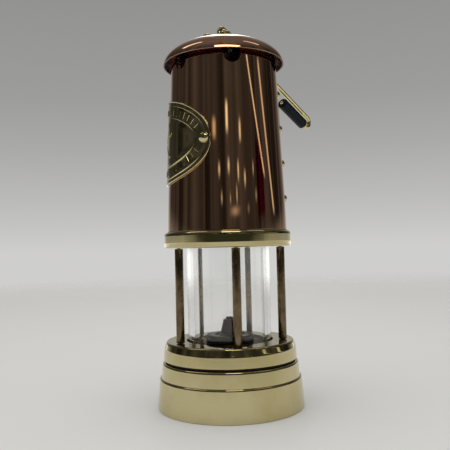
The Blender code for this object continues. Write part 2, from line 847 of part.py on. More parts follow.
def build_cap(vents):
    skin = dome_run(0, math.pi / 2, 0, dome_steps)
    lining = dome_run(math.pi / 2, 0, sheet, dome_steps)
    skin[0][0] = lining[-1][0] = 0
    cap = turned("cap", skin + lining, "copper", "frame")
    under = sheet + seat_gap
    start = math.asin(spider_bore / cap_radius)
    end = math.asin(spider_flange / cap_radius)
    skirt_radius = bonnet_top_radius - sheet - bore_gap
    skirt_top = bonnet_top + 4 * seat_gap
    skirt_base = skirt_top - spider_skirt
    upper = dome_run(start, end, under, 3) + [(skirt_radius, skirt_top), (skirt_radius, skirt_base)]
    inner = skirt_radius - sheet
    lower = [(inner, skirt_base), (inner, skirt_top)] + dome_run(end, start, under + sheet, 3)
    spider = turned("cap_spider", upper + lower, "copper", "frame")
    for tool in vents:
        cut(spider, tool)
    turn = math.asin(cap_rivet_circle / cap_radius)
    place = dome_point(turn)
    lean = (dome_point(turn) - dome_point(turn, mm)).normalized()
    for number in range(cap_rivet_count):
        angle = cap_rivet_first_angle + math.tau * number / cap_rivet_count
        skin = around(angle, place[0], place[1])
        direction = around(angle, lean[0], lean[1])
        rivet(f"cap_rivet_{number + 1}", skin, direction, under + sheet, cap_rivet_head, "copper", "frame")
        tool = rivet_hole(cap, f"cap_bore_{number + 1}", skin, direction).modifiers[-1].object
        cut(spider, tool)
    return cap


def build_staple(cap):
    dome_edge = dome_point(math.asin(crown_washer_radius / cap_radius), sheet)
    washer_top = dome_edge[1] - seat_gap
    washer_base = washer_top - crown_washer_thick
    nut_top = washer_base - seat_gap
    nut_base = nut_top - staple_nut_height
    disc = [
        (0, washer_top),
        (crown_washer_radius, washer_top),
        (crown_washer_radius, washer_base),
        (0, washer_base),
    ]
    washer = turned("crown_washer", disc, "polished_brass", "frame", 24)
    corner = staple_wire_radius * 1.6
    half = staple_half_span
    turns = [math.pi / 2 * step / 4 for step in range(5)]
    rise = pivot_height - corner
    bend = [(half - corner + corner * math.sin(turn), rise + corner * math.cos(turn)) for turn in turns]
    right = bend + [(half, nut_base - staple_tail)]
    left = [(-across, up) for across, up in right[::-1]]
    staple = wire("crown_staple", left + right, staple_wire_radius)
    staple.rotation_euler = (0, 0, hook_azimuth - math.pi / 2)
    attach(own(staple, "polished_brass"), "frame")
    for number, side in enumerate((1, -1), 1):
        place = around(hook_azimuth - math.pi / 2, side * half)
        bore = staple_wire_radius + bore_gap
        middle = place + Vector((0, 0, washer_base))
        tool = rod_cutter(f"staple_bore_{number}", bore, middle, (0, 0, 1), 2 * cap_brim_drop + 5 * mm)
        cut(cap, tool)
        cut(washer, tool)
        nut = (bore, staple_nut_radius, nut_base, nut_top)
        pipe(f"staple_nut_{number}", *nut, "polished_brass", "frame", 6, place)


def rest_slope():
    """The slope at which the hook's shank lies on the cap's shoulder."""
    low, high = math.radians(5), math.radians(60)
    for _ in range(40):
        slope = (low + high) / 2
        reach = eye_radius - wire_radius - seat_gap
        line = Vector((math.sin(slope), math.cos(slope)))
        shoulder = dome_run(0, math.pi / 2, 0, 60)
        shoulder_line = max((point - Vector((0, pivot_height))).dot(line) for point in shoulder)
        low, high = (slope, high) if shoulder_line < reach else (low, slope)
    return low


def build_hook():
    slope = rest_slope()
    along = Vector((math.cos(slope), -math.sin(slope)))
    up = Vector((math.sin(slope), math.cos(slope)))
    wrap = math.tau - hook_eye_gap
    eye = []
    for step in range(17):
        turn = slope - wrap * (1 - step / 16)
        eye.append(Vector((math.sin(turn), math.cos(turn))) * eye_radius)
    bend_start = up * eye_radius + along * hook_shank
    centre = bend_start - up * hook_bend_radius
    bend = []
    for step in range(9):
        turn = math.pi * step / 8
        bend.append(centre + (up * math.cos(turn) + along * math.sin(turn)) * hook_bend_radius)
    tip = bend[-1] - along * (grip_start + grip_length + grip_tail)
    rod = wire("belt_hook", eye + bend + [tip], wire_radius)
    rod.location = (0, 0, pivot_height)
    rod.rotation_euler = (0, 0, hook_azimuth)
    attach(own(rod, "polished_brass"), "hook")
    start = bend[-1] - along * grip_start
    turned_axis = around(hook_azimuth, -along[0], -along[1])
    place = around(hook_azimuth, start[0], pivot_height + start[1])
    bore = wire_radius + bore_gap
    section = [
        (bore, grip_length),
        (grip_radius, grip_length, 0.7 * mm),
        (grip_radius, 0, 0.7 * mm),
        (bore, 0),
    ]
    turned("hook_grip", section, "black_sleeve", "hook", knob_steps, place, turned_axis)


def build_lamp():
    add_body("vessel")
    add_body("seal")
    add_body("frame")
    add_body("wick")
    add_body("adjuster", (-adjuster_offset, 0, base_plate_base))
    add_body("filler_seat", (plug_offset, 0, base_plate_base))
    add_body("filler", (plug_offset, 0, base_plate_base))
    add_body("hook", (0, 0, pivot_height))
    build_vessel()
    build_burner()
    build_adjuster()
    build_filler()
    build_lower_ring()
    build_glass()
    build_pillars()
    build_upper_ring()
    build_gauzes()
    vents = vent_cutters()
    bonnet = build_bonnet(vents)
    build_name_plate(bonnet)
    cap = build_cap(vents)
    build_staple(cap)
    build_hook()


build_lamp()
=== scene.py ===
import json
import math
import random

import bmesh
import bpy
from mathutils import Matrix, Vector


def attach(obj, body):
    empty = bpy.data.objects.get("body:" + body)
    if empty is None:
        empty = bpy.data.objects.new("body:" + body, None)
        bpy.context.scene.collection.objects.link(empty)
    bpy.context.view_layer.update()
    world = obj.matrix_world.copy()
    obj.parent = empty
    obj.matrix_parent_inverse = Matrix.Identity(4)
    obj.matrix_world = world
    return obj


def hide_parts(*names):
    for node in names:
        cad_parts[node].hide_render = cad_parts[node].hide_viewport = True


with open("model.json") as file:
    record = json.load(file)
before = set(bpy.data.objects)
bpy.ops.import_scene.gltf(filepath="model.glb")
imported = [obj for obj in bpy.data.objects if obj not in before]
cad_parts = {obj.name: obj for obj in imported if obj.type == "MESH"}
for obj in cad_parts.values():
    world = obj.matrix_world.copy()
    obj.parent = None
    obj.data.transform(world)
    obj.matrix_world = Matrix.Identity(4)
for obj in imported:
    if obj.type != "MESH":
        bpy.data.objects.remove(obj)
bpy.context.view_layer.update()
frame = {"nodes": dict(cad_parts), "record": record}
mm = 0.001
evenAngle = 34  # edges sharper than this, in degrees, stay crisp
print("frame loaded:", len(frame["nodes"]), "pieces")


def addNode(tree, kind, inputs=None, **settings):
    node = tree.nodes.new(kind)
    for name, value in settings.items():
        setattr(node, name, value)
    for name, value in (inputs or {}).items():
        if isinstance(value, bpy.types.NodeSocket):
            tree.links.new(value, node.inputs[name])
        else:
            node.inputs[name].default_value = value
    return node


def smoothByAngle(mesh, limit=evenAngle):
    edit = bmesh.new()
    edit.from_mesh(mesh)
    for face in edit.faces:
        face.smooth = True
    for edge in edit.edges:
        edge.smooth = edge.calc_face_angle(0) < math.radians(limit)
    edit.to_mesh(mesh)
    edit.free()


def mathOf(tree, operation, *values):
    return addNode(tree, "ShaderNodeMath", dict(enumerate(values)), operation=operation).outputs[0]


def threeOf(tree, **parts):
    return addNode(tree, "ShaderNodeCombineXYZ", parts).outputs[0]


def meshFrom(edit, name, limit=None):  # ends the edit; the limit is the sharpest angle that is shaded smooth
    mesh = bpy.data.meshes.new(name)
    edit.to_mesh(mesh)
    edit.free()
    if limit:
        smoothByAngle(mesh, limit)
    return mesh


def joinLoops(edit, one, two):
    after = list(range(1, len(one))) + [0]
    return [edit.faces.new((one[step], one[after[step]], two[after[step]], two[step])) for step in range(len(one))]


def newPiece(name, mesh, material):
    mesh.materials.clear()
    mesh.materials.append(material)
    piece = bpy.data.objects.new(name, mesh)
    bpy.context.scene.collection.objects.link(piece)
    return piece


def settle(piece, body, finish, *nodes):
    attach(piece, body)
    if nodes:
        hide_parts(*nodes)
    return piece


def roundCorners(corners, steps=7):  # each corner is (radius, height) or (radius, height, fillet), in mm
    points = []
    for index, corner in enumerate(corners):
        here = Vector(corner[:2])
        fillet = corner[2] if len(corner) > 2 else 0
        if not fillet:
            points.append(here)
            continue
        back = (Vector(corners[index - 1][:2]) - here).normalized()
        onward = (Vector(corners[(index + 1) % len(corners)][:2]) - here).normalized()
        half = back.angle(onward) / 2
        centre = here + (back + onward).normalized() * fillet / math.sin(half)
        start = here + back * fillet / math.tan(half) - centre
        end = here + onward * fillet / math.tan(half) - centre
        sweep = start.angle_signed(end)
        for step in range(steps + 1):
            points.append(centre + Matrix.Rotation(-sweep * step / steps, 2) @ start)
    return points


def turnedMesh(name, section, segments=144, place=(0, 0, 0), direction=(0, 0, 1)):
    # Spins a closed section of (radius, height) points in mm; points on the axis become poles.
    onAxis = 0.0001
    edit = bmesh.new()
    rings = []
    for radius, height in section:
        if radius < onAxis:
            rings.append([edit.verts.new((0, 0, height * mm))])
            continue
        rings.append([edit.verts.new((radius * mm * math.cos(math.tau * step / segments),
                                      radius * mm * math.sin(math.tau * step / segments),
                                      height * mm)) for step in range(segments)])
    hollow = section[0][0] > onAxis or section[-1][0] > onAxis
    pairs = [(index, index + 1) for index in range(len(rings) - 1)]
    if hollow:
        pairs.append((len(rings) - 1, 0))
    for first, second in pairs:
        upper, lower = rings[first], rings[second]
        for step in range(segments):
            after = (step + 1) % segments
            corners = [upper[step % len(upper)], upper[after % len(upper)],
                       lower[after % len(lower)], lower[step % len(lower)]]
            corners = list(dict.fromkeys(corners))
            if len(corners) > 2:
                edit.faces.new(corners)
    bmesh.ops.remove_doubles(edit, verts=edit.verts, dist=0.0000005)
    bmesh.ops.recalc_face_normals(edit, faces=edit.faces)
    turn = Vector(direction).to_track_quat("Z", "X").to_matrix().to_4x4()
    edit.transform(Matrix.Translation(Vector(place)) @ turn)
    return meshFrom(edit, name, evenAngle)


def heldFlats(points, nearby=0.12, longRun=1.0):
    # A point close to each end of a long straight run keeps the smooth shading flat along it.
    held = []
    for here, after in zip(points, points[1:] + points[:1]):
        held.append(here)
        run = after - here
        if run.length > longRun:
            held += [here + run.normalized() * nearby, after - run.normalized() * nearby]
    return held


def turnedPiece(name, corners, material, segments=144, place=(0, 0, 0), direction=(0, 0, 1)):
    section = heldFlats(roundCorners(corners))
    return newPiece(name, turnedMesh(name, section, segments, place, direction), material)


def tubeSection(inner, outer, base, top, edge=0.25):
    return [(inner, top, edge), (outer, top, edge), (outer, base, edge), (inner, base, edge)]


def cutWith(piece, cutter):
    boolean = piece.modifiers.new("cut", "BOOLEAN")
    boolean.object = cutter
    boolean.solver = "EXACT"
    bpy.context.view_layer.update()
    graph = bpy.context.evaluated_depsgraph_get()
    mesh = bpy.data.meshes.new_from_object(piece.evaluated_get(graph))
    piece.modifiers.remove(boolean)
    piece.data = mesh
    bpy.data.objects.remove(cutter)
    while len(mesh.materials) > 1:
        mesh.materials.pop()
    for face in mesh.polygons:
        face.material_index = 0
    smoothByAngle(mesh)
    return piece


def looseTool(name, mesh):
    tool = bpy.data.objects.new(name, mesh)
    bpy.context.scene.collection.objects.link(tool)
    return tool


def borer(offset, radius, height, length=6):  # an upright rod that bores a hole, in mm
    section = [(0, length / 2), (radius, length / 2), (radius, -length / 2), (0, -length / 2)]
    return looseTool("bore", turnedMesh("bore", section, 32, (offset * mm, 0, height * mm)))


def boxMesh(name, sides, centre):
    edit = bmesh.new()
    bmesh.ops.create_cube(edit, size=1)
    edit.transform(Matrix.Translation(centre) @ Matrix.Diagonal((*sides, 1)))
    return meshFrom(edit, name)


def sweptMesh(name, points, radius, sides=24):
    # A round wire along points in metres, with rounded ends.
    points = [Vector(point) for point in points]
    tangents = []
    for index in range(len(points)):
        before, after = points[max(index - 1, 0)], points[min(index + 1, len(points) - 1)]
        tangents.append((after - before).normalized())
    side = tangents[0].orthogonal().normalized()
    stations = []
    for point, tangent in zip(points, tangents):
        side = (side - tangent * side.dot(tangent)).normalized()
        stations.append((point, tangent, side, radius))
    turns = [math.pi / 2 * step / 5 for step in range(1, 5)]  # the round ends
    foot, lead, flank = stations[0][:3]
    opening = [(foot - lead * (radius * math.cos(turn) - radius), lead, flank, radius * math.sin(turn))
               for turn in turns]
    stations[0] = (foot + lead * radius, lead, flank, radius)
    tip, lead, flank = stations[-1][:3]
    closing = [(tip + lead * (radius * math.cos(turn) - radius), lead, flank, radius * math.sin(turn))
               for turn in turns[::-1]]
    stations[-1] = (tip - lead * radius, lead, flank, radius)
    edit = bmesh.new()
    rings = []
    for centre, forward, across, size in opening + stations + closing:
        other = forward.cross(across)
        rings.append([edit.verts.new(centre + size * (across * math.cos(turn) + other * math.sin(turn)))
                      for turn in (math.tau * step / sides for step in range(sides))])
    for one, two in zip(rings, rings[1:]):
        joinLoops(edit, one, two)
    first = edit.verts.new(foot)
    last = edit.verts.new(tip)
    for step in range(sides):
        after = (step + 1) % sides
        edit.faces.new((first, rings[0][after], rings[0][step]))
        edit.faces.new((last, rings[-1][step], rings[-1][after]))
    bmesh.ops.recalc_face_normals(edit, faces=edit.faces)
    return meshFrom(edit, name, 50)


def around(angle, radius, height=0.0):
    return Vector((radius * math.cos(angle), radius * math.sin(angle), height))


def newTree(name, sockets):
    tree = bpy.data.node_groups.new(name, "GeometryNodeTree")
    tree.interface.new_socket("Geometry", in_out="INPUT", socket_type="NodeSocketGeometry")
    for label, kind in sockets:
        tree.interface.new_socket(label, in_out="INPUT", socket_type=kind)
    tree.interface.new_socket("Geometry", in_out="OUTPUT", socket_type="NodeSocketGeometry")
    return tree, tree.nodes.new("NodeGroupInput"), tree.nodes.new("NodeGroupOutput")


def endTree(tree, entry, ending, copies):
    real = addNode(tree, "GeometryNodeRealizeInstances", {"Geometry": copies})
    painted = addNode(tree, "GeometryNodeSetMaterial", {
        "Geometry": real.outputs[0], "Material": entry.outputs["Finish"]})
    tree.links.new(painted.outputs[0], ending.inputs[0])


def copiesOf(tree, points, copy, **inputs):
    return addNode(tree, "GeometryNodeInstanceOnPoints", {"Points": points, "Instance": copy, **inputs}).outputs[0]


def ringOfCopiesTree():  # Count copies of Template on a circle, each turned with its place
    tree, entry, ending = newTree("ringOfCopies", [
        ("Template", "NodeSocketObject"), ("Count", "NodeSocketInt"), ("Circle Radius", "NodeSocketFloat"),
        ("First Angle", "NodeSocketFloat"), ("Height", "NodeSocketFloat"), ("Across", "NodeSocketFloat"),
        ("Finish", "NodeSocketMaterial")])
    index = addNode(tree, "GeometryNodeInputIndex").outputs[0]
    step = mathOf(tree, "DIVIDE", math.tau, entry.outputs["Count"])
    angle = mathOf(tree, "MULTIPLY_ADD", index, step, entry.outputs["First Angle"])
    cosine = mathOf(tree, "COSINE", angle)
    sine = mathOf(tree, "SINE", angle)
    across = mathOf(tree, "MULTIPLY_ADD", cosine, entry.outputs["Circle Radius"], entry.outputs["Across"])
    along = mathOf(tree, "MULTIPLY", sine, entry.outputs["Circle Radius"])
    place = threeOf(tree, X=across, Y=along, Z=entry.outputs["Height"])
    line = addNode(tree, "GeometryNodeMeshLine", {"Count": entry.outputs["Count"]}).outputs[0]
    moved = addNode(tree, "GeometryNodeSetPosition", {"Geometry": line, "Position": place}).outputs[0]
    template = addNode(tree, "GeometryNodeObjectInfo", {"Object": entry.outputs["Template"]}).outputs["Geometry"]
    endTree(tree, entry, ending, copiesOf(tree, moved, template, Rotation=threeOf(tree, Z=angle)))
    return tree


def copiesOnPointsTree():  # a copy of Template on each point of the host, its top along the point's facing
    tree, entry, ending = newTree("copiesOnPoints", [
        ("Template", "NodeSocketObject"), ("Copy Size", "NodeSocketFloat"), ("Finish", "NodeSocketMaterial")])
    facing, upward = (addNode(tree, "GeometryNodeInputNamedAttribute", {"Name": label},
                              data_type="FLOAT_VECTOR").outputs[0] for label in ("facing", "upward"))
    turned = addNode(tree, "FunctionNodeAlignEulerToVector", {"Vector": facing}, axis="Z").outputs[0]
    turned = addNode(tree, "FunctionNodeAlignEulerToVector", {"Rotation": turned, "Vector": upward},
                     axis="Y", pivot_axis="Z").outputs[0]
    template = addNode(tree, "GeometryNodeObjectInfo", {"Object": entry.outputs["Template"]}).outputs["Geometry"]
    copies = copiesOf(tree, entry.outputs[0], template, Rotation=turned, Scale=entry.outputs["Copy Size"])
    endTree(tree, entry, ending, copies)
    return tree


def wovenGauzeTree():  # upright wires, hoops and a crossed crown, on a tapering tube
    tree, entry, ending = newTree("wovenGauze", [
        ("Base Radius", "NodeSocketFloat"), ("Crown Radius", "NodeSocketFloat"),
        ("Base Height", "NodeSocketFloat"), ("Crown Height", "NodeSocketFloat"), ("Uprights", "NodeSocketInt"),
        ("Hoops", "NodeSocketInt"), ("Crown Wires", "NodeSocketInt"), ("Wire Radius", "NodeSocketFloat"),
        ("Finish", "NodeSocketMaterial")])
    foot, rim = entry.outputs["Base Radius"], entry.outputs["Crown Radius"]
    base, crown = entry.outputs["Base Height"], entry.outputs["Crown Height"]
    wireRound = addNode(tree, "GeometryNodeCurvePrimitiveCircle", {
        "Resolution": 4, "Radius": entry.outputs["Wire Radius"]}).outputs[0]

    def asWire(curve):
        return addNode(tree, "GeometryNodeCurveToMesh", {"Curve": curve, "Profile Curve": wireRound}).outputs[0]

    def rowOf(count, start, end):
        return addNode(tree, "GeometryNodeMeshLine", {"Count": entry.outputs[count], "Start Location": start,
                                                      "Offset": end}, mode="END_POINTS").outputs[0]

    def placeOf(axis):
        where = addNode(tree, "GeometryNodeInputPosition").outputs[0]
        return addNode(tree, "ShaderNodeSeparateXYZ", {0: where}).outputs[axis]

    upright = asWire(addNode(tree, "GeometryNodeCurvePrimitiveLine", {
        "Start": threeOf(tree, X=foot, Z=base), "End": threeOf(tree, X=rim, Z=crown)}).outputs[0])
    index = addNode(tree, "GeometryNodeInputIndex").outputs[0]
    pitch = mathOf(tree, "DIVIDE", math.tau, entry.outputs["Uprights"])
    angle = mathOf(tree, "MULTIPLY", index, pitch)
    spots = addNode(tree, "GeometryNodeMeshLine", {
        "Count": entry.outputs["Uprights"], "Offset": (0, 0, 0)}).outputs[0]
    uprights = copiesOf(tree, spots, upright, Rotation=threeOf(tree, Z=angle))

    levels = rowOf("Hoops", threeOf(tree, Z=base), threeOf(tree, Z=crown))
    reach = addNode(tree, "ShaderNodeMapRange", {
        "Value": placeOf("Z"), "From Min": base, "From Max": crown, "To Min": foot, "To Max": rim}).outputs[0]
    hoop = addNode(tree, "GeometryNodeCurvePrimitiveCircle", {"Resolution": 64, "Radius": 1.0}).outputs[0]
    hoops = copiesOf(tree, levels, hoop, Scale=threeOf(tree, X=reach, Y=reach, Z=1.0))
    hoops = asWire(addNode(tree, "GeometryNodeRealizeInstances", {"Geometry": hoops}).outputs[0])

    negative = mathOf(tree, "MULTIPLY", rim, -0.98)
    positive = mathOf(tree, "MULTIPLY", rim, 0.98)
    rows = rowOf("Crown Wires", threeOf(tree, Y=negative, Z=crown), threeOf(tree, Y=positive, Z=crown))
    aside = placeOf("Y")
    rimSquare = mathOf(tree, "POWER", rim, 2.0)
    sideSquare = mathOf(tree, "MULTIPLY", aside, aside)
    left = mathOf(tree, "SUBTRACT", rimSquare, sideSquare)
    chord = mathOf(tree, "SQRT", left)
    bar = addNode(tree, "GeometryNodeCurvePrimitiveLine", {"Start": (-1, 0, 0), "End": (1, 0, 0)}).outputs[0]
    bars = copiesOf(tree, rows, bar, Scale=threeOf(tree, X=chord, Y=1.0, Z=1.0))
    bars = asWire(addNode(tree, "GeometryNodeRealizeInstances", {"Geometry": bars}).outputs[0])
    crossed = addNode(tree, "GeometryNodeTransform", {
        "Geometry": bars, "Rotation": (0, 0, math.pi / 2)}).outputs[0]

    joined = addNode(tree, "GeometryNodeJoinGeometry")
    for part in (uprights, hoops, bars, crossed):
        tree.links.new(part, joined.inputs[0])
    endTree(tree, entry, ending, joined.outputs[0])
    return tree


def plainFromNodes(name, tree, values, host=None):  # the tree's result as an ordinary mesh
    host = host or bpy.data.objects.new(name + "Host", bpy.data.meshes.new(name + "Host"))
    bpy.context.scene.collection.objects.link(host)
    modifier = host.modifiers.new(name, "NODES")
    modifier.node_group = tree
    for item in tree.interface.items_tree:
        if item.item_type == "SOCKET" and item.in_out == "INPUT" and item.name in values:
            modifier[item.identifier] = values[item.name]
    bpy.context.view_layer.update()
    graph = bpy.context.evaluated_depsgraph_get()
    mesh = bpy.data.meshes.new_from_object(host.evaluated_get(graph))
    host.modifiers.remove(modifier)
    bpy.data.objects.remove(host)
    return newPiece(name, mesh, values["Finish"])


def pointsHost(name, spots, facings, upwards):  # loose points, each with the way that its copy faces
    host = bpy.data.meshes.new(name)
    host.from_pydata(spots, [], [])
    for label, values in (("facing", facings), ("upward", upwards)):
        attribute = host.attributes.new(label, "FLOAT_VECTOR", "POINT")
        attribute.data.foreach_set("vector", [part for value in values for part in value])
    return bpy.data.objects.new(name, host)


ringOfCopies, copiesOnPoints, wovenGauze = ringOfCopiesTree(), copiesOnPointsTree(), wovenGauzeTree()
print("node trees built")


# each metal has two tones, a range of roughness, the size of its patches in 1/m, and a fine grain
metalLooks = {
    "brassSatin": dict(colours=((0.55, 0.475, 0.235), (0.64, 0.565, 0.32)), gloss=(0.03, 0.08), patch=38.0,
                       grain=(60, 60, 5200), depth=0.03, coat=0.1),
    "brassWire": dict(colours=((0.66, 0.55, 0.22), (0.80, 0.70, 0.34)), gloss=(0.10, 0.22), patch=120.0,
                      grain=(900, 900, 900), depth=0.04, coat=0.1),
    # copper also gets painted shade: a dark tint, and more roughness, on faces that look down or inwards
    "copperBright": dict(colours=((0.74, 0.45, 0.28), (0.82, 0.52, 0.34)), gloss=(0.02, 0.05), patch=30.0,
                         grain=(900, 900, 60), depth=0.015, coat=0.1, paintedShadeColour=(0.075, 0.028, 0.03),
                         paintedShadeRough=0.38),
    "brassHeated": dict(colours=((0.11, 0.08, 0.045), (0.23, 0.17, 0.095)), gloss=(0.16, 0.32), patch=90.0,
                        grain=(300, 300, 4000), depth=0.08, coat=0.0),
    "burnerBronze": dict(colours=((0.045, 0.024, 0.010), (0.11, 0.062, 0.026)), gloss=(0.28, 0.5), patch=190.0,
                         grain=(700, 700, 700), depth=0.25, coat=0.0),
    "screwSteel": dict(colours=((0.34, 0.34, 0.35), (0.50, 0.50, 0.50)), gloss=(0.22, 0.38), patch=160.0,
                       grain=(500, 500, 3000), depth=0.1, coat=0.0),
    "gauzeWire": dict(colours=((0.10, 0.09, 0.08), (0.24, 0.22, 0.19)), gloss=(0.35, 0.55), patch=200.0,
                      grain=(900, 900, 900), depth=0.1, coat=0.0),
}


def newFinish(name):
    material = bpy.data.materials.new(name)
    material.use_nodes = True
    material.node_tree.nodes.clear()
    return material, material.node_tree


def endFinish(tree, surface):
    addNode(tree, "ShaderNodeOutputMaterial", {"Surface": surface})


def noiseOf(tree, place, scale, detail, rough=0.5):
    return addNode(tree, "ShaderNodeTexNoise", {
        "Vector": place, "Scale": scale, "Detail": detail, "Roughness": rough}).outputs["Fac"]


def rangeOf(tree, value, low, high, floor=0.0, roof=1.0, **settings):
    return addNode(tree, "ShaderNodeMapRange", {
        "Value": value, "From Min": low, "From Max": high, "To Min": floor, "To Max": roof}, **settings).outputs[0]


def twoTones(tree, value, colours, low=0.0, high=1.0):
    ramp = addNode(tree, "ShaderNodeValToRGB", {"Fac": value})
    for element, position, colour in zip(ramp.color_ramp.elements, (low, high), colours):
        element.position, element.color = position, (*colour, 1)
    return ramp.outputs[0]


def bumpOf(tree, height, strength, distance):
    return addNode(tree, "ShaderNodeBump", {
        "Height": height, "Strength": strength, "Distance": distance}).outputs[0]


def metalFinish(name):
    look = metalLooks[name]
    material, tree = newFinish(name)
    place = addNode(tree, "ShaderNodeTexCoord").outputs["Object"]
    tone = twoTones(tree, noiseOf(tree, place, look["patch"], 5.0, 0.62), look["colours"], 0.36, 0.64)
    rough = rangeOf(tree, noiseOf(tree, place, look["patch"] * 2.3, 6.0, 0.7), 0.35, 0.68, *look["gloss"])
    if "paintedShadeColour" in look:  # painted shade: faces that look down or inwards get a dark red-brown tint, and are also rougher
        facing = addNode(tree, "ShaderNodeTexCoord").outputs["Normal"]
        lean = addNode(tree, "ShaderNodeSeparateXYZ", {0: facing}).outputs["Z"]
        outward = addNode(tree, "ShaderNodeVectorMath", {0: place, 1: (1, 1, 0)}, operation="MULTIPLY").outputs[0]
        outward = addNode(tree, "ShaderNodeVectorMath", {0: outward}, operation="NORMALIZE").outputs[0]
        turned = addNode(tree, "ShaderNodeVectorMath", {0: facing, 1: outward}, operation="DOT_PRODUCT")
        inside = rangeOf(tree, turned.outputs["Value"], -0.05, -0.2)
        # the mask of painted shade: faces that look down or inwards
        shadeMask = mathOf(tree, "MAXIMUM", rangeOf(tree, lean, -0.3, -0.6), inside)
        tone = addNode(tree, "ShaderNodeMixRGB", {0: shadeMask, 1: tone, 2: (*look["paintedShadeColour"], 1)}).outputs[0]
        rough = mathOf(tree, "MULTIPLY_ADD", shadeMask, look["paintedShadeRough"], rough)
    stretched = addNode(tree, "ShaderNodeMapping", {"Vector": place, "Scale": look["grain"]}).outputs[0]
    shader = addNode(tree, "ShaderNodeBsdfPrincipled", {
        "Base Color": tone, "Metallic": 1.0, "Roughness": rough,
        "Normal": bumpOf(tree, noiseOf(tree, stretched, 1.0, 3.0), look["depth"], 0.0001),
        "Coat Weight": look["coat"], "Coat Roughness": 0.06})
    endFinish(tree, shader.outputs[0])
    return material


softLooks = {
    "rubberSleeve": dict(colours=((0.003, 0.005, 0.009), (0.006, 0.010, 0.015)), rough=0.4, scale=260.0,
                         depth=0.15, sheen=0.0),
    "oiledLeather": dict(colours=((0.012, 0.009, 0.006), (0.03, 0.022, 0.014)), rough=0.7, scale=420.0,
                         depth=0.4, sheen=0.1),
    "packedCotton": dict(colours=((0.58, 0.54, 0.46), (0.80, 0.76, 0.68)), rough=0.95, scale=700.0,
                         depth=0.8, sheen=0.4),
}


def softFinish(name):
    look = softLooks[name]
    material, tree = newFinish(name)
    place = addNode(tree, "ShaderNodeTexCoord").outputs["Object"]
    mottle = noiseOf(tree, place, look["scale"], 6.0, 0.65)
    shader = addNode(tree, "ShaderNodeBsdfPrincipled", {
        "Base Color": twoTones(tree, mottle, look["colours"], 0.35, 0.65), "Roughness": look["rough"],
        "Normal": bumpOf(tree, mottle, look["depth"], 0.0003), "Sheen Weight": look["sheen"],
        "Specular IOR Level": 0.12})
    endFinish(tree, shader.outputs[0])
    return material


braidLook = dict(cream=(0.62, 0.55, 0.42), char=(0.012, 0.010, 0.009), charFrom=0.0465, charTo=0.0495,
                 ragged=0.004)


def wickFinish():  # cream braid that is charred above the burner's cone; heights in metres
    look = braidLook
    material, tree = newFinish("charredWick")
    place = addNode(tree, "ShaderNodeTexCoord").outputs["Object"]
    height = addNode(tree, "ShaderNodeSeparateXYZ", {0: place}).outputs["Z"]
    fibres = noiseOf(tree, place, 900.0, 4.0)
    edge = mathOf(tree, "MULTIPLY_ADD", fibres, look["ragged"], height)
    burnt = rangeOf(tree, edge, look["charFrom"], look["charTo"])
    shader = addNode(tree, "ShaderNodeBsdfPrincipled", {
        "Base Color": twoTones(tree, burnt, (look["cream"], look["char"])), "Roughness": 0.95,
        "Normal": bumpOf(tree, fibres, 0.6, 0.0003)})
    endFinish(tree, shader.outputs[0])
    return material


def glassFinish():
    material, tree = newFinish("clearGlass")
    place = addNode(tree, "ShaderNodeTexCoord").outputs["Object"]
    haze = rangeOf(tree, noiseOf(tree, place, 55.0, 5.0, 0.7), 0.5, 0.75, 0.0, 0.05)  # where a cloth has wiped it
    shader = addNode(tree, "ShaderNodeBsdfPrincipled", {
        "Base Color": (0.985, 0.99, 0.985, 1), "Roughness": haze, "Transmission Weight": 1.0, "IOR": 1.47,
        "Specular IOR Level": 0.2})
    endFinish(tree, shader.outputs[0])
    return material


brassSatin, brassWire, copperBright, brassHeated, burnerBronze, screwSteel, gauzeWire = (
    metalFinish(name) for name in metalLooks)
rubberSleeve, oiledLeather, packedCotton = (softFinish(name) for name in softLooks)
charredWick, clearGlass = wickFinish(), glassFinish()
finishBySlot = {
    "polished_brass": brassSatin, "dark_brass": brassHeated, "copper": copperBright, "glass": clearGlass,
    "gauze": gauzeWire, "black_sleeve": rubberSleeve, "washer": oiledLeather, "cotton": packedCotton,
    "steel": screwSteel}
for subpart in frame["record"]["subparts"]:
    node = frame["nodes"][subpart["node"]]
    for index in range(len(node.data.materials)):
        node.data.materials[index] = finishBySlot[subpart["material_slot"]]
print("finishes made")


vesselSizes = dict(footRadius=42.5, footTopRadius=41.3, footHeight=17.9, waistRadius=40.2, waistTopRadius=39.55,
                   shoulder=26.5, neckRadius=27.0, neckTop=33.1, neckBore=23.2, wall=3.2, roof=2.6,
                   recessRadius=38.4, recess=6.8, plateBase=5.0, plateTop=6.5, plateGap=0.3)


def makeVessel():
    v = vesselSizes
    section = [
        (v["neckBore"], v["neckTop"], 0.3), (v["neckRadius"], v["neckTop"], 0.4), (v["neckRadius"], v["shoulder"]),
        (v["waistTopRadius"], v["shoulder"], 1.3), (v["waistRadius"], v["footHeight"] + 1.0),
        (v["waistRadius"] + 0.05, v["footHeight"] - 0.05, 0.12), (v["footTopRadius"], v["footHeight"], 1.1),
        (v["footRadius"] - 0.1, 3.2), (v["footRadius"], 0, 0.6), (v["recessRadius"], 0, 0.4),
        (v["recessRadius"], v["recess"]), (v["waistRadius"] - v["wall"], v["recess"]),
        (v["waistRadius"] - v["wall"], v["shoulder"] - v["roof"]), (v["neckBore"], v["shoulder"] - v["roof"])]
    settle(turnedPiece("vesselShell", section, brassSatin, 192), "vessel", "polished_brass", "fuel_vessel")
    rim = v["recessRadius"] - v["plateGap"]
    disc = [(0, v["plateTop"]), (rim, v["plateTop"], 0.2), (rim, v["plateBase"], 0.2), (0, v["plateBase"])]
    plate = turnedPiece("basePlate", disc, brassSatin, 128)
    for size in (knobSizes, plugSizes):
        cutWith(plate, borer(size["offset"], size["bore"], (v["plateBase"] + v["plateTop"]) / 2))
    settle(plate, "vessel", "polished_brass", "vessel_base_plate")


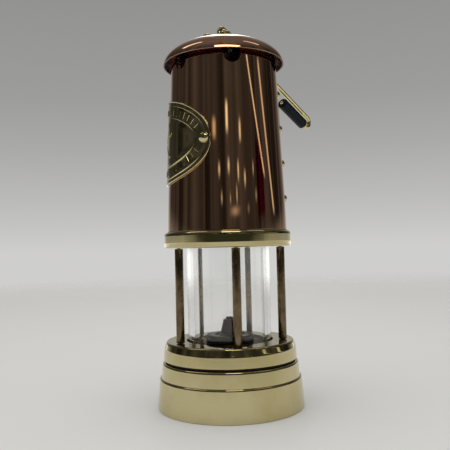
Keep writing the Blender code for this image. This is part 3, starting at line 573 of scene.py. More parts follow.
burnerSizes = dict(ceiling=39.9, bossRadius=19.9, bossTop=37.0, chamber=12.6, floorTop=30.0, floorBase=28.0,
                   holder=3.4, collarRadius=13.9, collarBase=37.3, collarTop=41.5, grooveInner=6.4,
                   grooveOuter=8.8,
                   coneFoot=5.5, coneMouth=3.5, coneTop=50.0, coneBore=2.5, spigot=4.0, screwed=22.9,
                   screwedTop=33.1, collarWall=1.6, grooveDeep=1.0, gap=0.3)


def makeBurner():
    b = burnerSizes
    screwed, step = b["screwed"], b["screwedTop"]
    plate = [(b["chamber"], b["bossTop"], 0.3), (b["bossRadius"], b["bossTop"], 0.5), (b["bossRadius"], step),
             (screwed, step, 0.3), (screwed, b["floorBase"], 0.3), (b["holder"], b["floorBase"]),
             (b["holder"], b["floorTop"]), (b["chamber"], b["floorTop"])]
    piece = turnedPiece("burnerPlate", plate, burnerBronze, 96)
    cutWith(piece, borer(knobSizes["offset"], knobSizes["bore"], (b["floorBase"] + b["floorTop"]) / 2))
    settle(piece, "vessel", "dark_brass", "burner_plate")
    lining, hole = b["collarRadius"] - b["collarWall"], b["spigot"] + b["gap"]
    top, groove, seat = b["collarTop"], b["collarTop"] - b["grooveDeep"], b["collarTop"] + b["gap"]
    collar = [(b["grooveOuter"], top, 0.2), (b["collarRadius"], top, 0.7),
              (b["collarRadius"], b["collarBase"], 0.3), (lining, b["collarBase"]), (lining, b["ceiling"]),
              (hole, b["ceiling"]), (hole, top), (b["grooveInner"], top, 0.2), (b["grooveInner"], groove, 0.2),
              (b["grooveOuter"], groove, 0.2)]
    settle(turnedPiece("burnerCollar", collar, burnerBronze, 96), "vessel", "dark_brass", "burner_collar")
    cone = [(b["coneBore"], b["coneTop"], 0.1), (b["coneMouth"], b["coneTop"], 0.35), (b["coneFoot"], seat, 0.2),
            (b["spigot"], seat), (b["spigot"], b["ceiling"]), (b["coneBore"], b["ceiling"])]
    settle(turnedPiece("burnerCone", cone, burnerBronze, 64), "vessel", "dark_brass", "burner_cone")


wickSizes = dict(radius=2.2, base=10.0, top=51.4, strands=8, braidPitch=4.4, braidDepth=0.11, charFrom=49.6,
                 charHeight=1.8, charred=0.5, frayed=0.25, dip=0.35, rows=150, columns=48)


def makeWick():
    w = wickSizes
    rows, columns = w["rows"], w["columns"]
    rng = random.Random(7)
    edit = bmesh.new()
    rings = []
    for row in range(rows + 1):
        height = w["base"] + (w["top"] - w["base"]) * row / rows
        ring = []
        charred = max(0.0, (height - w["charFrom"]) / w["charHeight"])
        for column in range(columns):
            angle = math.tau * column / columns
            twist = math.tau * height / w["braidPitch"]
            braid = max(math.sin(w["strands"] / 2 * angle + twist), math.sin(w["strands"] / 2 * angle - twist))
            radius = w["radius"] - w["braidDepth"] * (1 - braid) - w["charred"] * charred * rng.uniform(0.2, 1.0)
            lift = rng.uniform(-w["frayed"], 0.0) * charred
            ring.append(edit.verts.new(around(angle, radius * mm, (height + lift) * mm)))
        rings.append(ring)
    for one, two in zip(rings, rings[1:]):
        joinLoops(edit, one, two)
    for ring, height in ((rings[0], w["base"]), (rings[-1], w["top"] - w["dip"])):
        pole = edit.verts.new((0, 0, height * mm))
        for column in range(columns):
            edit.faces.new((pole, ring[column], ring[(column + 1) % columns]))
    bmesh.ops.recalc_face_normals(edit, faces=edit.faces)
    mesh = meshFrom(edit, "braidedWick", 60)
    settle(newPiece("braidedWick", mesh, charredWick), "wick", "cotton", "wick")


knobSizes = dict(offset=-8.0, radius=6.5, base=1.0, top=4.7, ridges=44, ridgeWide=0.42, ridgeDeep=0.22, bore=1.8,
                 floor=2.0, ridgeShort=0.9, sunk=0.02)
plugSizes = dict(offset=18.0, radius=4.0, headRadius=6.6, headBase=2.0, headTop=3.7, top=9.0, slot=1.6, bore=4.3,
                 slotLength=20.0, washerBase=4.0, washerTop=4.7)


def makeUnderside():
    k, p = knobSizes, plugSizes
    body, half = k["radius"] - k["ridgeDeep"], k["ridgeWide"] / 2 * mm
    knob = [(0, k["floor"]), (k["bore"], k["floor"]), (k["bore"], k["top"]), (body, k["top"], 0.4),
            (body, k["base"], 0.4), (0, k["base"])]
    settle(turnedPiece("knobBody", knob, brassSatin, 96, (k["offset"] * mm, 0, 0)), "adjuster", "polished_brass",
           "adjuster_knob")
    edit = bmesh.new()
    bmesh.ops.create_cone(edit, cap_ends=True, segments=8, radius1=half, radius2=half,
                          depth=(k["top"] - k["base"] - k["ridgeShort"]) * mm)
    template = looseTool("ridge", meshFrom(edit, "ridge"))
    ridges = plainFromNodes("knobRidges", ringOfCopies, {
        "Template": template, "Count": k["ridges"], "Circle Radius": (body - k["sunk"]) * mm, "First Angle": 0.0,
        "Height": (k["base"] + k["top"]) / 2 * mm, "Across": k["offset"] * mm, "Finish": brassSatin})
    bpy.data.objects.remove(template)
    settle(ridges, "adjuster", "polished_brass")
    plug = [(0, p["top"]), (p["radius"], p["top"], 0.5), (p["radius"], p["headTop"]),
            (p["headRadius"], p["headTop"], 0.2), (p["headRadius"], p["headBase"], 0.5), (0, p["headBase"])]
    piece = turnedPiece("fillerPlug", plug, brassSatin, 96, (p["offset"] * mm, 0, 0))
    slot = boxMesh("slot", (p["slotLength"] * mm, p["slot"] * mm, p["slot"] * mm),
                   (p["offset"] * mm, 0, p["headBase"] * mm))
    settle(cutWith(piece, looseTool("slot", slot)), "filler", "polished_brass", "filler_plug")
    washer = tubeSection(p["bore"], p["headRadius"], p["washerBase"], p["washerTop"], 0.2)
    washer = turnedPiece("fillerWasher", washer, oiledLeather, 64, (p["offset"] * mm, 0, 0))
    settle(washer, "filler_seat", "washer", "filler_washer")


makeVessel()
makeBurner()
makeWick()
makeUnderside()
print("vessel and burner made")


ringSizes = dict(base=27.7, top=38.3, topRadius=37.3, radius=38.9, lip=25.2, thread=27.5, lipBase=35.2,
                 upperBase=91.9, upperTop=101.3, upperRadius=37.3, bore=19.5, seat=24.9, seatTop=95.2,
                 spigotRadius=33.6, spigotTop=104.3, taperFrom=34.2, curveAt=94.8)
sealSizes = dict(inner=29.8, outer=37.9, base=26.8, top=27.4)
gauzeRingSizes = dict(inner=24.3, outer=26.7, base=104.6, top=109.0)


def makeRings():
    r = ringSizes
    seal = tubeSection(*sealSizes.values(), 0.2)
    settle(turnedPiece("vesselSeal", seal, oiledLeather), "seal", "washer", "vessel_seal")
    lower = [(r["lip"], r["top"], 0.3), (r["topRadius"] - 0.1, r["top"], 1.5),
             (r["radius"] - 0.5, r["taperFrom"], 5.0), (r["radius"], r["base"], 0.5), (r["thread"], r["base"]),
             (r["thread"], r["lipBase"]), (r["lip"], r["lipBase"])]
    settle(turnedPiece("lowerRing", lower, brassSatin, 192), "frame", "polished_brass", "lower_ring")
    upper = [(r["bore"], r["spigotTop"], 0.3), (r["spigotRadius"], r["spigotTop"], 0.3),
             (r["spigotRadius"], r["upperTop"]), (r["upperRadius"], r["upperTop"], 2.3),
             (r["upperRadius"], r["curveAt"], 3.0),
             (r["upperRadius"] - 0.35, r["upperBase"], 1.2), (r["seat"], r["upperBase"], 0.3),
             (r["seat"], r["seatTop"]), (r["bore"], r["seatTop"], 0.3)]
    settle(turnedPiece("upperRing", upper, brassSatin, 192), "frame", "polished_brass", "upper_ring")
    gauzeRing = tubeSection(*gauzeRingSizes.values(), 0.4)
    settle(turnedPiece("gauzeRing", gauzeRing, brassHeated, 96), "frame", "dark_brass", "gauze_ring")


glassSizes = dict(bore=20.8, radius=24.3, base=36.5, top=93.6, washerThick=1.0, washerGap=0.3)


def makeGlass():
    g = glassSizes
    tube = tubeSection(g["bore"], g["radius"], g["base"], g["top"], 0.5)
    settle(turnedPiece("glassTube", tube, clearGlass, 192), "frame", "glass", "glass_cylinder")
    below, above = g["base"] - g["washerGap"] - g["washerThick"], g["top"] + g["washerGap"]
    for name, node, base in (("lowerGlassWasher", "lower_glass_washer", below),
                             ("upperGlassWasher", "upper_glass_washer", above)):
        washer = tubeSection(g["bore"], g["radius"] + g["washerGap"], base, base + g["washerThick"], 0.3)
        settle(turnedPiece(name, washer, oiledLeather, 96), "frame", "washer", node)


pillarSizes = dict(count=5, radius=2.35, circle=31.0, firstAngle=8.0, low=38.6, high=91.6, spigot=1.6, foot=33.8,
                   tapped=85.3, bore=1.5)
screwSizes = dict(headRadius=2.1, headBase=104.6, headHeight=1.8, radius=1.2, tip=85.6, slot=0.5, slotDeep=0.7,
                  slotLength=6.0)


def makePillars():
    p, s = pillarSizes, screwSizes
    pillar = [(0, p["tapped"]), (p["bore"], p["tapped"]), (p["bore"], p["high"]), (p["radius"], p["high"], 0.2),
              (p["radius"], p["low"], 0.2), (p["spigot"], p["low"]), (p["spigot"], p["foot"], 0.3), (0, p["foot"])]
    template = looseTool("pillar", turnedMesh("pillar", roundCorners(pillar, 3), 40))
    ring = {"Template": template, "Count": p["count"], "Circle Radius": p["circle"] * mm,
            "First Angle": math.radians(p["firstAngle"]), "Height": 0.0, "Across": 0.0, "Finish": brassHeated}
    pillars = plainFromNodes("pillars", ringOfCopies, ring)
    bpy.data.objects.remove(template)
    settle(pillars, "frame", "dark_brass", *(f"pillar_{number}" for number in range(1, p["count"] + 1)))
    top = s["headBase"] + s["headHeight"]
    screw = [(0, top), (s["headRadius"], top, 0.3), (s["headRadius"], s["headBase"]), (s["radius"], s["headBase"]),
             (s["radius"], s["tip"], 0.3), (0, s["tip"])]
    one = newPiece("screw", turnedMesh("screw", roundCorners(screw, 3), 32), screwSteel)
    slot = boxMesh("slot", (s["slotLength"] * mm, s["slot"] * mm, 2 * s["slotDeep"] * mm), (0, 0, top * mm))
    cutWith(one, looseTool("slot", slot))
    ring.update(Template=one, Finish=screwSteel)
    screws = plainFromNodes("pillarScrews", ringOfCopies, ring)
    bpy.data.objects.remove(one)
    settle(screws, "frame", "steel", *(f"pillar_screw_{number}" for number in range(1, p["count"] + 1)))


# each gauze is (radius at its foot, radius at its crown, height of its crown)
gauzeSizes = dict(wire=0.16, pitch=0.95, base=104.8, outer=(24.1, 20.4, 187.5), inner=(20.3, 17.3, 179.5))


def makeGauzes():
    g = gauzeSizes
    for side in ("outer", "inner"):
        foot, head, crest = g[side]
        piece = plainFromNodes(side + "Gauze", wovenGauze, {
            "Base Radius": foot * mm, "Crown Radius": head * mm, "Base Height": g["base"] * mm,
            "Crown Height": crest * mm, "Uprights": int(math.tau * foot / g["pitch"]),
            "Hoops": int((crest - g["base"]) / g["pitch"]), "Crown Wires": int(2 * head / g["pitch"]),
            "Wire Radius": g["wire"] * mm, "Finish": gauzeWire})
        settle(piece, "frame", "gauze", side + "_gauze")


makeRings()
makeGlass()
makePillars()
makeGauzes()
print("rings, glass, pillars and gauzes made")


bonnetSizes = dict(base=101.6, top=205.8, baseRadius=35.1, topRadius=30.9, sheet=0.9, ventWide=9.5, ventDeep=12.7,
                   ventPairs=3, ventFirst=9.0, beyond=0.6, toolReach=60.0, edge=0.35)
capSizes = dict(radius=35.8, base=199.6, rise=15.5, sheet=0.9, rivetCircle=18.0, spiderBore=12.0,
                spiderFlange=23.0, gap=0.3, skirtAbove=1.2, skirtTall=5.7)


def bonnetRadius(height):
    b = bonnetSizes
    return b["baseRadius"] + (b["topRadius"] - b["baseRadius"]) * (height - b["base"]) / (b["top"] - b["base"])


def bonnetFacing(angle):
    b = bonnetSizes
    lean = math.atan((b["baseRadius"] - b["topRadius"]) / (b["top"] - b["base"]))
    return around(angle, math.cos(lean), math.sin(lean))


def ventTool(number):  # a bar with a round lower side, which cuts two opposite vents at once
    b = bonnetSizes
    half, reach = b["ventWide"] / 2, b["toolReach"] * mm
    foot, head = b["top"] - b["ventDeep"] + half, b["top"] + b["beyond"]
    turns = [math.pi * step / 32 for step in range(33)]
    shape = [(-half * math.cos(turn), foot - half * math.sin(turn)) for turn in turns]
    shape += [(half, head), (-half, head)]
    edit = bmesh.new()
    near = [edit.verts.new((reach, across * mm, up * mm)) for across, up in shape]
    far = [edit.verts.new((-reach, across * mm, up * mm)) for across, up in shape]
    edit.faces.new(near)
    edit.faces.new(far[::-1])
    for index in range(len(shape)):
        after = (index + 1) % len(shape)
        edit.faces.new((near[index], far[index], far[after], near[after]))
    bmesh.ops.recalc_face_normals(edit, faces=edit.faces)
    edit.transform(Matrix.Rotation(math.radians(b["ventFirst"]) + math.pi * number / b["ventPairs"], 4, "Z"))
    return looseTool("vent", meshFrom(edit, "vent"))


def makeBonnet():
    b = bonnetSizes
    levels = [b["top"], b["top"] - b["edge"]] + [b["top"] - 12 - 8 * step for step in range(11)]
    outer = [(bonnetRadius(height), height) for height in levels] + [(b["baseRadius"], b["base"])]
    inner = [(radius - b["sheet"], height) for radius, height in outer[::-1]]
    bonnet = newPiece("bonnetShell", turnedMesh("bonnetShell", outer + inner, 216), copperBright)
    for number in range(b["ventPairs"]):
        cutWith(bonnet, ventTool(number))
    settle(bonnet, "frame", "copper", "bonnet")


def domePoint(angle, depth=0.0):
    c = capSizes
    lean = Vector((math.sin(angle) / c["radius"], math.cos(angle) / c["rise"])).normalized()
    return Vector((c["radius"] * math.sin(angle), c["base"] + c["rise"] * math.cos(angle))) - lean * depth


def domeRun(start, end, depth, steps):
    return [domePoint(start + (end - start) * step / steps, depth) for step in range(steps + 1)]


def makeCap():
    c = capSizes
    lip = math.asin(1 - 0.0006)  # just short of the rim, where the bead takes over
    skin = domeRun(0, lip, 0, 40)
    lining = domeRun(lip, 0, c["sheet"], 40)
    skin[0][0] = lining[-1][0] = 0
    edgeOut, edgeIn = domePoint(math.pi / 2), domePoint(math.pi / 2, c["sheet"])
    middle = (edgeOut + edgeIn) / 2
    bead = [middle + Matrix.Rotation(-math.pi * step / 8, 2) @ (edgeOut - middle) for step in range(9)]
    bead = [Vector((point[0], point[1] + c["sheet"] / 2)) for point in bead]
    cap = newPiece("capDome", turnedMesh("capDome", skin + bead + lining, 216), copperBright)
    settle(cap, "frame", "copper", "cap")
    under = c["sheet"] + c["gap"]
    start, end = math.asin(c["spiderBore"] / c["radius"]), math.asin(c["spiderFlange"] / c["radius"])
    skirt = bonnetSizes["topRadius"] - bonnetSizes["sheet"] - c["gap"]
    top = bonnetSizes["top"] + c["skirtAbove"]
    base = top - c["skirtTall"]
    upper = domeRun(start, end, under, 8) + [(skirt, top), (skirt, base)]
    lower = [(skirt - c["sheet"], base), (skirt - c["sheet"], top)] + domeRun(end, start, under + c["sheet"], 8)
    spider = newPiece("capSupport", turnedMesh("capSupport", upper + lower, 128), copperBright)
    for number in range(bonnetSizes["ventPairs"]):
        cutWith(spider, ventTool(number))
    settle(spider, "frame", "copper", "cap_spider")


plateSizes = dict(centre=153.3, thick=0.8, gap=0.3, halfAngle=77.0, halfHeight=24.5, roundness=2.15, tilt=2.0,
                  rivetAngle=70.0, barCount=52, barInset=6.4, barTall=3.6, barWide=0.42, barRise=0.36,
                  barEdge=0.16, barReach=0.86, barRadius=33.5, strip=0.22, columns=240)
# how far in from the plate's edge, and how high there: a rolled edge and two raised lines, in mm
plateRelief = [(0.0, -0.12), (0.1, 0.06), (0.2, 0.15), (0.35, 0.19), (0.5, 0.15), (0.62, 0.04), (0.75, 0.0),
               (2.3, 0.0), (2.42, 0.05), (2.55, 0.08), (2.7, 0.08), (2.82, 0.05), (2.95, 0.0), (5.0, 0.0),
               (7.0, 0.0), (9.2, 0.0), (9.3, 0.04), (9.4, 0.07), (9.55, 0.07), (9.65, 0.04), (9.75, 0.0)]


def plateSkin():
    return bonnetRadius(plateSizes["centre"]) + plateSizes["gap"] + plateSizes["thick"]


def plateSpot(across, along, depth):  # flat plate coordinates in mm to a point on the bonnet
    p = plateSizes
    skin = plateSkin()
    height = p["centre"] + along - math.tan(math.radians(p["tilt"])) * across
    return around(across / skin - math.pi / 2, (bonnetRadius(height) + p["gap"] + depth) * mm, height * mm)


def plateEdge(turn, inset=0.0):
    p = plateSizes
    length = math.radians(p["halfAngle"]) * plateSkin()
    power = 2 / p["roundness"]

    def onEdge(angle):
        return Vector((math.copysign(abs(math.cos(angle)) ** power, math.cos(angle)) * length,
                       math.copysign(abs(math.sin(angle)) ** power, math.sin(angle)) * p["halfHeight"]))

    nearby = 0.004
    run = onEdge(turn + nearby) - onEdge(turn - nearby)
    outward = Vector((run[1], -run[0])).normalized()
    return onEdge(turn) - outward * inset


def makeNamePlate():
    p = plateSizes
    columns = p["columns"]
    turns = [math.tau * (column + 0.5) / columns for column in range(columns)]
    edit = bmesh.new()
    rings = []
    for inset, relief in plateRelief:
        rings.append([edit.verts.new(plateSpot(*plateEdge(turn, inset), p["thick"] + relief)) for turn in turns])
    last = [plateEdge(turn, plateRelief[-1][0]) for turn in turns]
    for share in (0.85, 0.7, 0.55, 0.4, 0.25, 0.12):
        rings.append([edit.verts.new(plateSpot(*(spot * share), p["thick"])) for spot in last])
    back = []
    for share in (0.12, 0.3, 0.5, 0.7, 0.85, 1.0):
        back.append([edit.verts.new(plateSpot(*(plateEdge(turn) * share), 0)) for turn in turns])
    for one, two in zip([back[-1]] + rings, rings):
        joinLoops(edit, one, two)
    for one, two in zip(back, back[1:]):
        for column in range(columns):
            after = (column + 1) % columns
            edit.faces.new((one[column], two[column], two[after], one[after]))
    front, rear = edit.verts.new(plateSpot(0, 0, p["thick"])), edit.verts.new(plateSpot(0, 0, 0))
    for column in range(columns):
        after = (column + 1) % columns
        edit.faces.new((front, rings[-1][column], rings[-1][after]))
        edit.faces.new((rear, back[0][after], back[0][column]))
    bmesh.ops.recalc_face_normals(edit, faces=edit.faces)
    for strip in emblemStrips():
        raiseStrip(edit, strip)
    mesh = meshFrom(edit, "namePlate", 40)
    settle(newPiece("namePlate", mesh, brassSatin), "frame", "polished_brass", "name_plate")


def makePlateBorder():  # a ring of short bars where a maker's wording would be
    p = plateSizes
    edit = bmesh.new()
    bmesh.ops.create_cube(edit, size=1)
    edit.transform(Matrix.Diagonal((p["barWide"] * mm, p["barTall"] * mm, p["barRise"] * mm, 1)))
    bmesh.ops.bevel(edit, geom=edit.edges, offset=p["barEdge"] * mm, segments=1, affect="EDGES")
    template = looseTool("bar", meshFrom(edit, "bar"))
    spots, facings, upwards = [], [], []
    step = 0.002
    path = [plateEdge(turn * step, p["barInset"]) for turn in range(int(math.tau / step) + 1)]
    total = sum((two - one).length for one, two in zip(path, path[1:]))
    pitch, walked, wanted = total / p["barCount"], 0.0, 0.0
    for one, two in zip(path, path[1:]):
        walked += (two - one).length
        if walked < wanted:
            continue
        wanted += pitch
        if abs(one[0]) > p["barReach"] * math.radians(p["halfAngle"]) * p["barRadius"]:
            continue  # room for the plate's rivets
        run = (two - one).normalized()
        outward = Vector((run[1], -run[0]))
        here = plateSpot(*one, p["thick"])
        spots.append(here)
        facings.append(bonnetFacing(math.atan2(here[1], here[0])))
        upwards.append((plateSpot(*(one + outward * 0.5), p["thick"]) - here).normalized())
    bars = plainFromNodes("plateBorderBars", copiesOnPoints, {
        "Template": template, "Copy Size": 1.0, "Finish": brassSatin},
        pointsHost("barSpots", spots, facings, upwards))
    bpy.data.objects.remove(template)
    settle(bars, "frame", "polished_brass")


def raiseStrip(edit, strip):  # a low raised bar; each of its stations is (across, along, half width)
    thick, rise = plateSizes["thick"], plateSizes["strip"]
    outline = ((1, -0.2), (1, 0.7 * rise), (0.72, rise), (-0.72, rise), (-1, 0.7 * rise), (-1, -0.2))
    loops = []
    for index, (across, along, half) in enumerate(strip):
        before, after = strip[max(index - 1, 0)], strip[min(index + 1, len(strip) - 1)]
        run = (Vector(after[:2]) - Vector(before[:2])).normalized()
        side = Vector((-run[1], run[0]))
        here = Vector((across, along))
        loops.append([edit.verts.new(plateSpot(*(here + side * half * share), thick + lift))
                      for share, lift in outline])
    faces = []
    for one, two in zip(loops, loops[1:]):
        faces += joinLoops(edit, one, two)
    faces.append(edit.faces.new(loops[0]))
    faces.append(edit.faces.new(loops[-1][::-1]))
    bmesh.ops.recalc_face_normals(edit, faces=faces)


emblemSizes = dict(handleFoot=(13, -8.5), handleTop=(12, 8), handleHalf=0.8, hammer=((9.6, 10.6), (14.2, 4.0)),
                   hammerHalf=2.0, pick=(-12.2, 8.1), pickHalf=9.0, pickBow=2.6, pickDeep=1.35, pickPoint=0.25)


def emblemStrips():  # a miner's pick crossed with a hammer
    e = emblemSizes

    def straight(start, end, half, steps=10):
        return [(start[0] + (end[0] - start[0]) * step / steps, start[1] + (end[1] - start[1]) * step / steps,
                 half) for step in range(steps + 1)]

    (low, deep), (high, tall) = e["handleFoot"], e["handleTop"]
    handles = [straight((side * low, deep), (-side * high, tall), e["handleHalf"]) for side in (-1, 1)]
    hammer = straight(*e["hammer"], e["hammerHalf"], 6)
    pick = []
    lean = math.atan2(tall - deep, low + high)
    for step in range(15):  # the pick's curved head, tapering to its points
        share = step / 14 * 2 - 1
        along = Vector((math.sin(lean), math.cos(lean))) * share * e["pickHalf"]
        back = Vector((math.cos(lean), -math.sin(lean))) * (share * share * e["pickBow"])
        spot = Vector(e["pick"]) + along + back
        pick.append((spot[0], spot[1], e["pickDeep"] * (1 - share * share) + e["pickPoint"]))
    return [*handles, hammer, pick]


makeBonnet()
makeCap()
makeNamePlate()
makePlateBorder()
print("bonnet, plate and cap made")


rivetSizes = {
    "seam": dict(head=2.25, shank=1.0, grip=2.4, lowest=120.0, highest=182.0, count=4),
    "plate": dict(head=2.9, shank=1.0, grip=2.0),
    "cap": dict(head=2.4, shank=1.0, grip=2.1, firstAngle=-30.0, count=4),
}
# the dome's rise is a share of the head's radius, and the tail's widths of the shank's
rivetShape = dict(rise=0.62, edge=0.1, clear=0.3, tailFoot=1.7, tailTop=1.5, tailTall=0.9)


def rivetTemplate(kind):
    head, shank, r = rivetSizes[kind]["head"], rivetSizes[kind]["shank"], rivetShape
    turns = [math.pi / 2 * step / 7 for step in range(8)]
    dome = [(head * math.sin(turn), r["edge"] + r["rise"] * head * math.cos(turn)) for turn in turns]
    tail = -rivetSizes[kind]["grip"] - r["clear"]
    section = dome + [(head, 0.0), (shank, 0.0), (shank, tail), (r["tailFoot"] * shank, tail),
                      (r["tailTop"] * shank, tail - 0.7), (0, tail - r["tailTall"])]
    return looseTool("rivet", turnedMesh("rivet", section, 28))


def makeRivets(name, kind, spots, facings, material, slotName, nodes):
    template = rivetTemplate(kind)
    host = pointsHost(name + "Spots", spots, facings, [(0, 0, 1)] * len(spots))
    piece = plainFromNodes(name, copiesOnPoints, {
        "Template": template, "Copy Size": 1.0, "Finish": material}, host)
    bpy.data.objects.remove(template)
    settle(piece, "frame", slotName, *nodes)


def placeRivets():
    seam, crown = rivetSizes["seam"], rivetSizes["cap"]
    pitch = (seam["highest"] - seam["lowest"]) / (seam["count"] - 1)
    heights = [seam["lowest"] + pitch * step for step in range(seam["count"])]
    spots = [around(math.pi / 2, bonnetRadius(height) * mm, height * mm) for height in heights]
    facings = [bonnetFacing(math.pi / 2)] * seam["count"]
    makeRivets("seamRivets", "seam", spots, facings, brassSatin, "polished_brass",
               [f"seam_rivet_{number}" for number in range(1, seam["count"] + 1)])
    turns = [side * math.radians(plateSizes["rivetAngle"]) for side in (1, -1)]
    spots = [plateSpot(turn * plateSkin(), 0, plateSizes["thick"]) for turn in turns]
    facings = [bonnetFacing(turn - math.pi / 2) for turn in turns]
    makeRivets("plateRivets", "plate", spots, facings, brassSatin, "polished_brass",
               ["plate_rivet_1", "plate_rivet_2"])
    turn = math.asin(capSizes["rivetCircle"] / capSizes["radius"])
    place, lean = domePoint(turn), (domePoint(turn) - domePoint(turn, 1.0)).normalized()
    first, pitch = math.radians(crown["firstAngle"]), math.tau / crown["count"]
    angles = [first + pitch * number for number in range(crown["count"])]
    makeRivets("capRivets", "cap", [around(angle, place[0] * mm, place[1] * mm) for angle in angles],
               [around(angle, lean[0], lean[1]) for angle in angles], copperBright, "copper",
               [f"cap_rivet_{number}" for number in range(1, crown["count"] + 1)])


placeRivets()
print("rivets made")


stapleSizes = dict(wire=1.3, halfSpan=5.5, corner=2.6, tail=207.5)
hookSizes = dict(azimuth=140.5, pivot=219.8, wire=1.4, eye=3.0, gap=66.0, slope=23.17, shank=99.5, bend=3.7,
                 gripRadius=3.6, gripLength=28.0, gripStart=3.0, tail=1.2, gripFit=0.3)


def makeStaple():
    s, h = stapleSizes, hookSizes
    angle = math.radians(h["azimuth"]) - math.pi / 2
    rise = h["pivot"] - s["corner"]
    turns = [math.pi / 2 * step / 10 for step in range(11)]
    right = [(s["halfSpan"] - s["corner"] + s["corner"] * math.sin(turn), rise + s["corner"] * math.cos(turn))
             for turn in turns]
    right += [(s["halfSpan"], rise - 2), (s["halfSpan"], s["tail"])]
    left = [(-across, up) for across, up in right[::-1]]
    points = [around(angle, across * mm, up * mm) for across, up in left + right]
    staple = newPiece("crownStaple", sweptMesh("crownStaple", points, s["wire"] * mm), brassWire)
    settle(staple, "frame", "polished_brass", "crown_staple")


def makeHook():
    h = hookSizes
    slope = math.radians(h["slope"])
    along, up = Vector((math.cos(slope), -math.sin(slope))), Vector((math.sin(slope), math.cos(slope)))
    wrap = math.tau - math.radians(h["gap"])
    eye = []
    for step in range(49):
        turn = slope - wrap * (1 - step / 48)
        eye.append(Vector((math.sin(turn), math.cos(turn))) * h["eye"])
    shank = [up * h["eye"] + along * h["shank"] * step / 12 for step in range(1, 13)]
    centre = up * (h["eye"] - h["bend"]) + along * h["shank"]
    bend = [centre + (up * math.cos(turn) + along * math.sin(turn)) * h["bend"]
            for turn in (math.pi * step / 20 for step in range(1, 21))]
    tip = bend[-1] - along * (h["gripStart"] + h["gripLength"] + h["tail"])
    azimuth = math.radians(h["azimuth"])
    flat = eye + shank + bend + [tip]
    points = [around(azimuth, point[0] * mm, (h["pivot"] + point[1]) * mm) for point in flat]
    hook = newPiece("beltHook", sweptMesh("beltHook", points, h["wire"] * mm), brassWire)
    settle(hook, "hook", "polished_brass", "belt_hook")
    start = bend[-1] - along * h["gripStart"]
    place = around(azimuth, start[0] * mm, (h["pivot"] + start[1]) * mm)
    bore = h["wire"] + h["gripFit"]
    section = [(bore, h["gripLength"], 0.15), (h["gripRadius"], h["gripLength"], 1.1), (h["gripRadius"], 0, 1.1),
               (bore, 0, 0.15)]
    grip = turnedPiece("hookSleeve", section, rubberSleeve, 48, place, around(azimuth, -along[0], -along[1]))
    settle(grip, "hook", "black_sleeve", "hook_grip")


makeStaple()
makeHook()
print("staple and hook made")


# brightness of the room's parts as the polished metal mirrors them
roomLook = dict(dark=0.042, least=0.008, wall=0.34, ceiling=0.10, haze=0.35, ground=0.5, panel=2.4, soft=0.62)
# azimuth, lowest and highest elevation, width, brightness and colour of each bright strip or window, in degrees
roomStrips = [
    (4, 15.9, 18.4, 7, 1.3, (1.0, 0.98, 0.66)), (-22, 15.2, 16.8, 11, 0.75, (1.0, 0.76, 0.46)),
    (30, 14.8, 16.5, 6, 1.05, (1.0, 0.97, 0.66)), (-13, 11.7, 12.6, 6, 0.85, (1.0, 0.97, 0.7)),
    (5.5, 12.0, 13.0, 6, 0.95, (1.0, 0.97, 0.7)), (24, 11.2, 12.7, 5, 0.85, (1.0, 0.95, 0.66)),
    (37, 10.5, 11.6, 5, 0.9, (1.0, 0.95, 0.66)), (55, 11.2, 12.1, 4, 0.65, (1.0, 0.9, 0.7)),
    (-9, 9.1, 9.8, 5, 0.65, (1.0, 0.95, 0.75)), (7.5, 9.1, 9.6, 4, 0.55, (1.0, 0.95, 0.75)),
    (20, 9.0, 10.4, 4, 0.6, (1.0, 0.92, 0.66)), (59, 8.7, 9.3, 5, 0.5, (1.0, 0.92, 0.7)),
    (16, 7.95, 8.3, 24, 0.75, (1.0, 0.82, 0.66)), (42, 7.95, 8.15, 6, 0.55, (1.0, 0.85, 0.7)),
]
# azimuths, elevations and tint of a wine-red curtain and three dark doorways
roomShades = [
    ((62, 79), (6.6, 14.0), (0.55, 0.04, 0.16)), ((-106, -94), (3.0, 14.0), (0.35, 0.35, 0.35)),
    ((-42, -31), (4.0, 15.5), (0.3, 0.3, 0.3)), ((107, 122), (5.0, 24.0), (0.3, 0.3, 0.3)),
]
# two long leaning tubes of light: azimuth and elevation of the top, lean, width, elevations, brightness, colour
roomTubes = [
    (49, 23.1, 2.5, 2.6, 10.4, 23.5, 0.9, (1.0, 0.92, 0.68)),
    (81, 20.2, 1.5, 3.6, 6.2, 21.0, 0.7, (1.0, 0.88, 0.68)),
]
# azimuths, elevations and brightness of the panels to each side
sidePanels = [((-112, -99), (46, 70), 1.6), ((99, 108), (52, 70), 1.4)]
# how bright the wall is at a share of 25 degrees above the floor's edge
wallStops = [(0.0, 0.62), (0.09, 0.555), (0.18, 0.50), (0.376, 0.40), (0.56, 0.335), (0.9, 0.29), (1.0, 0.28)]


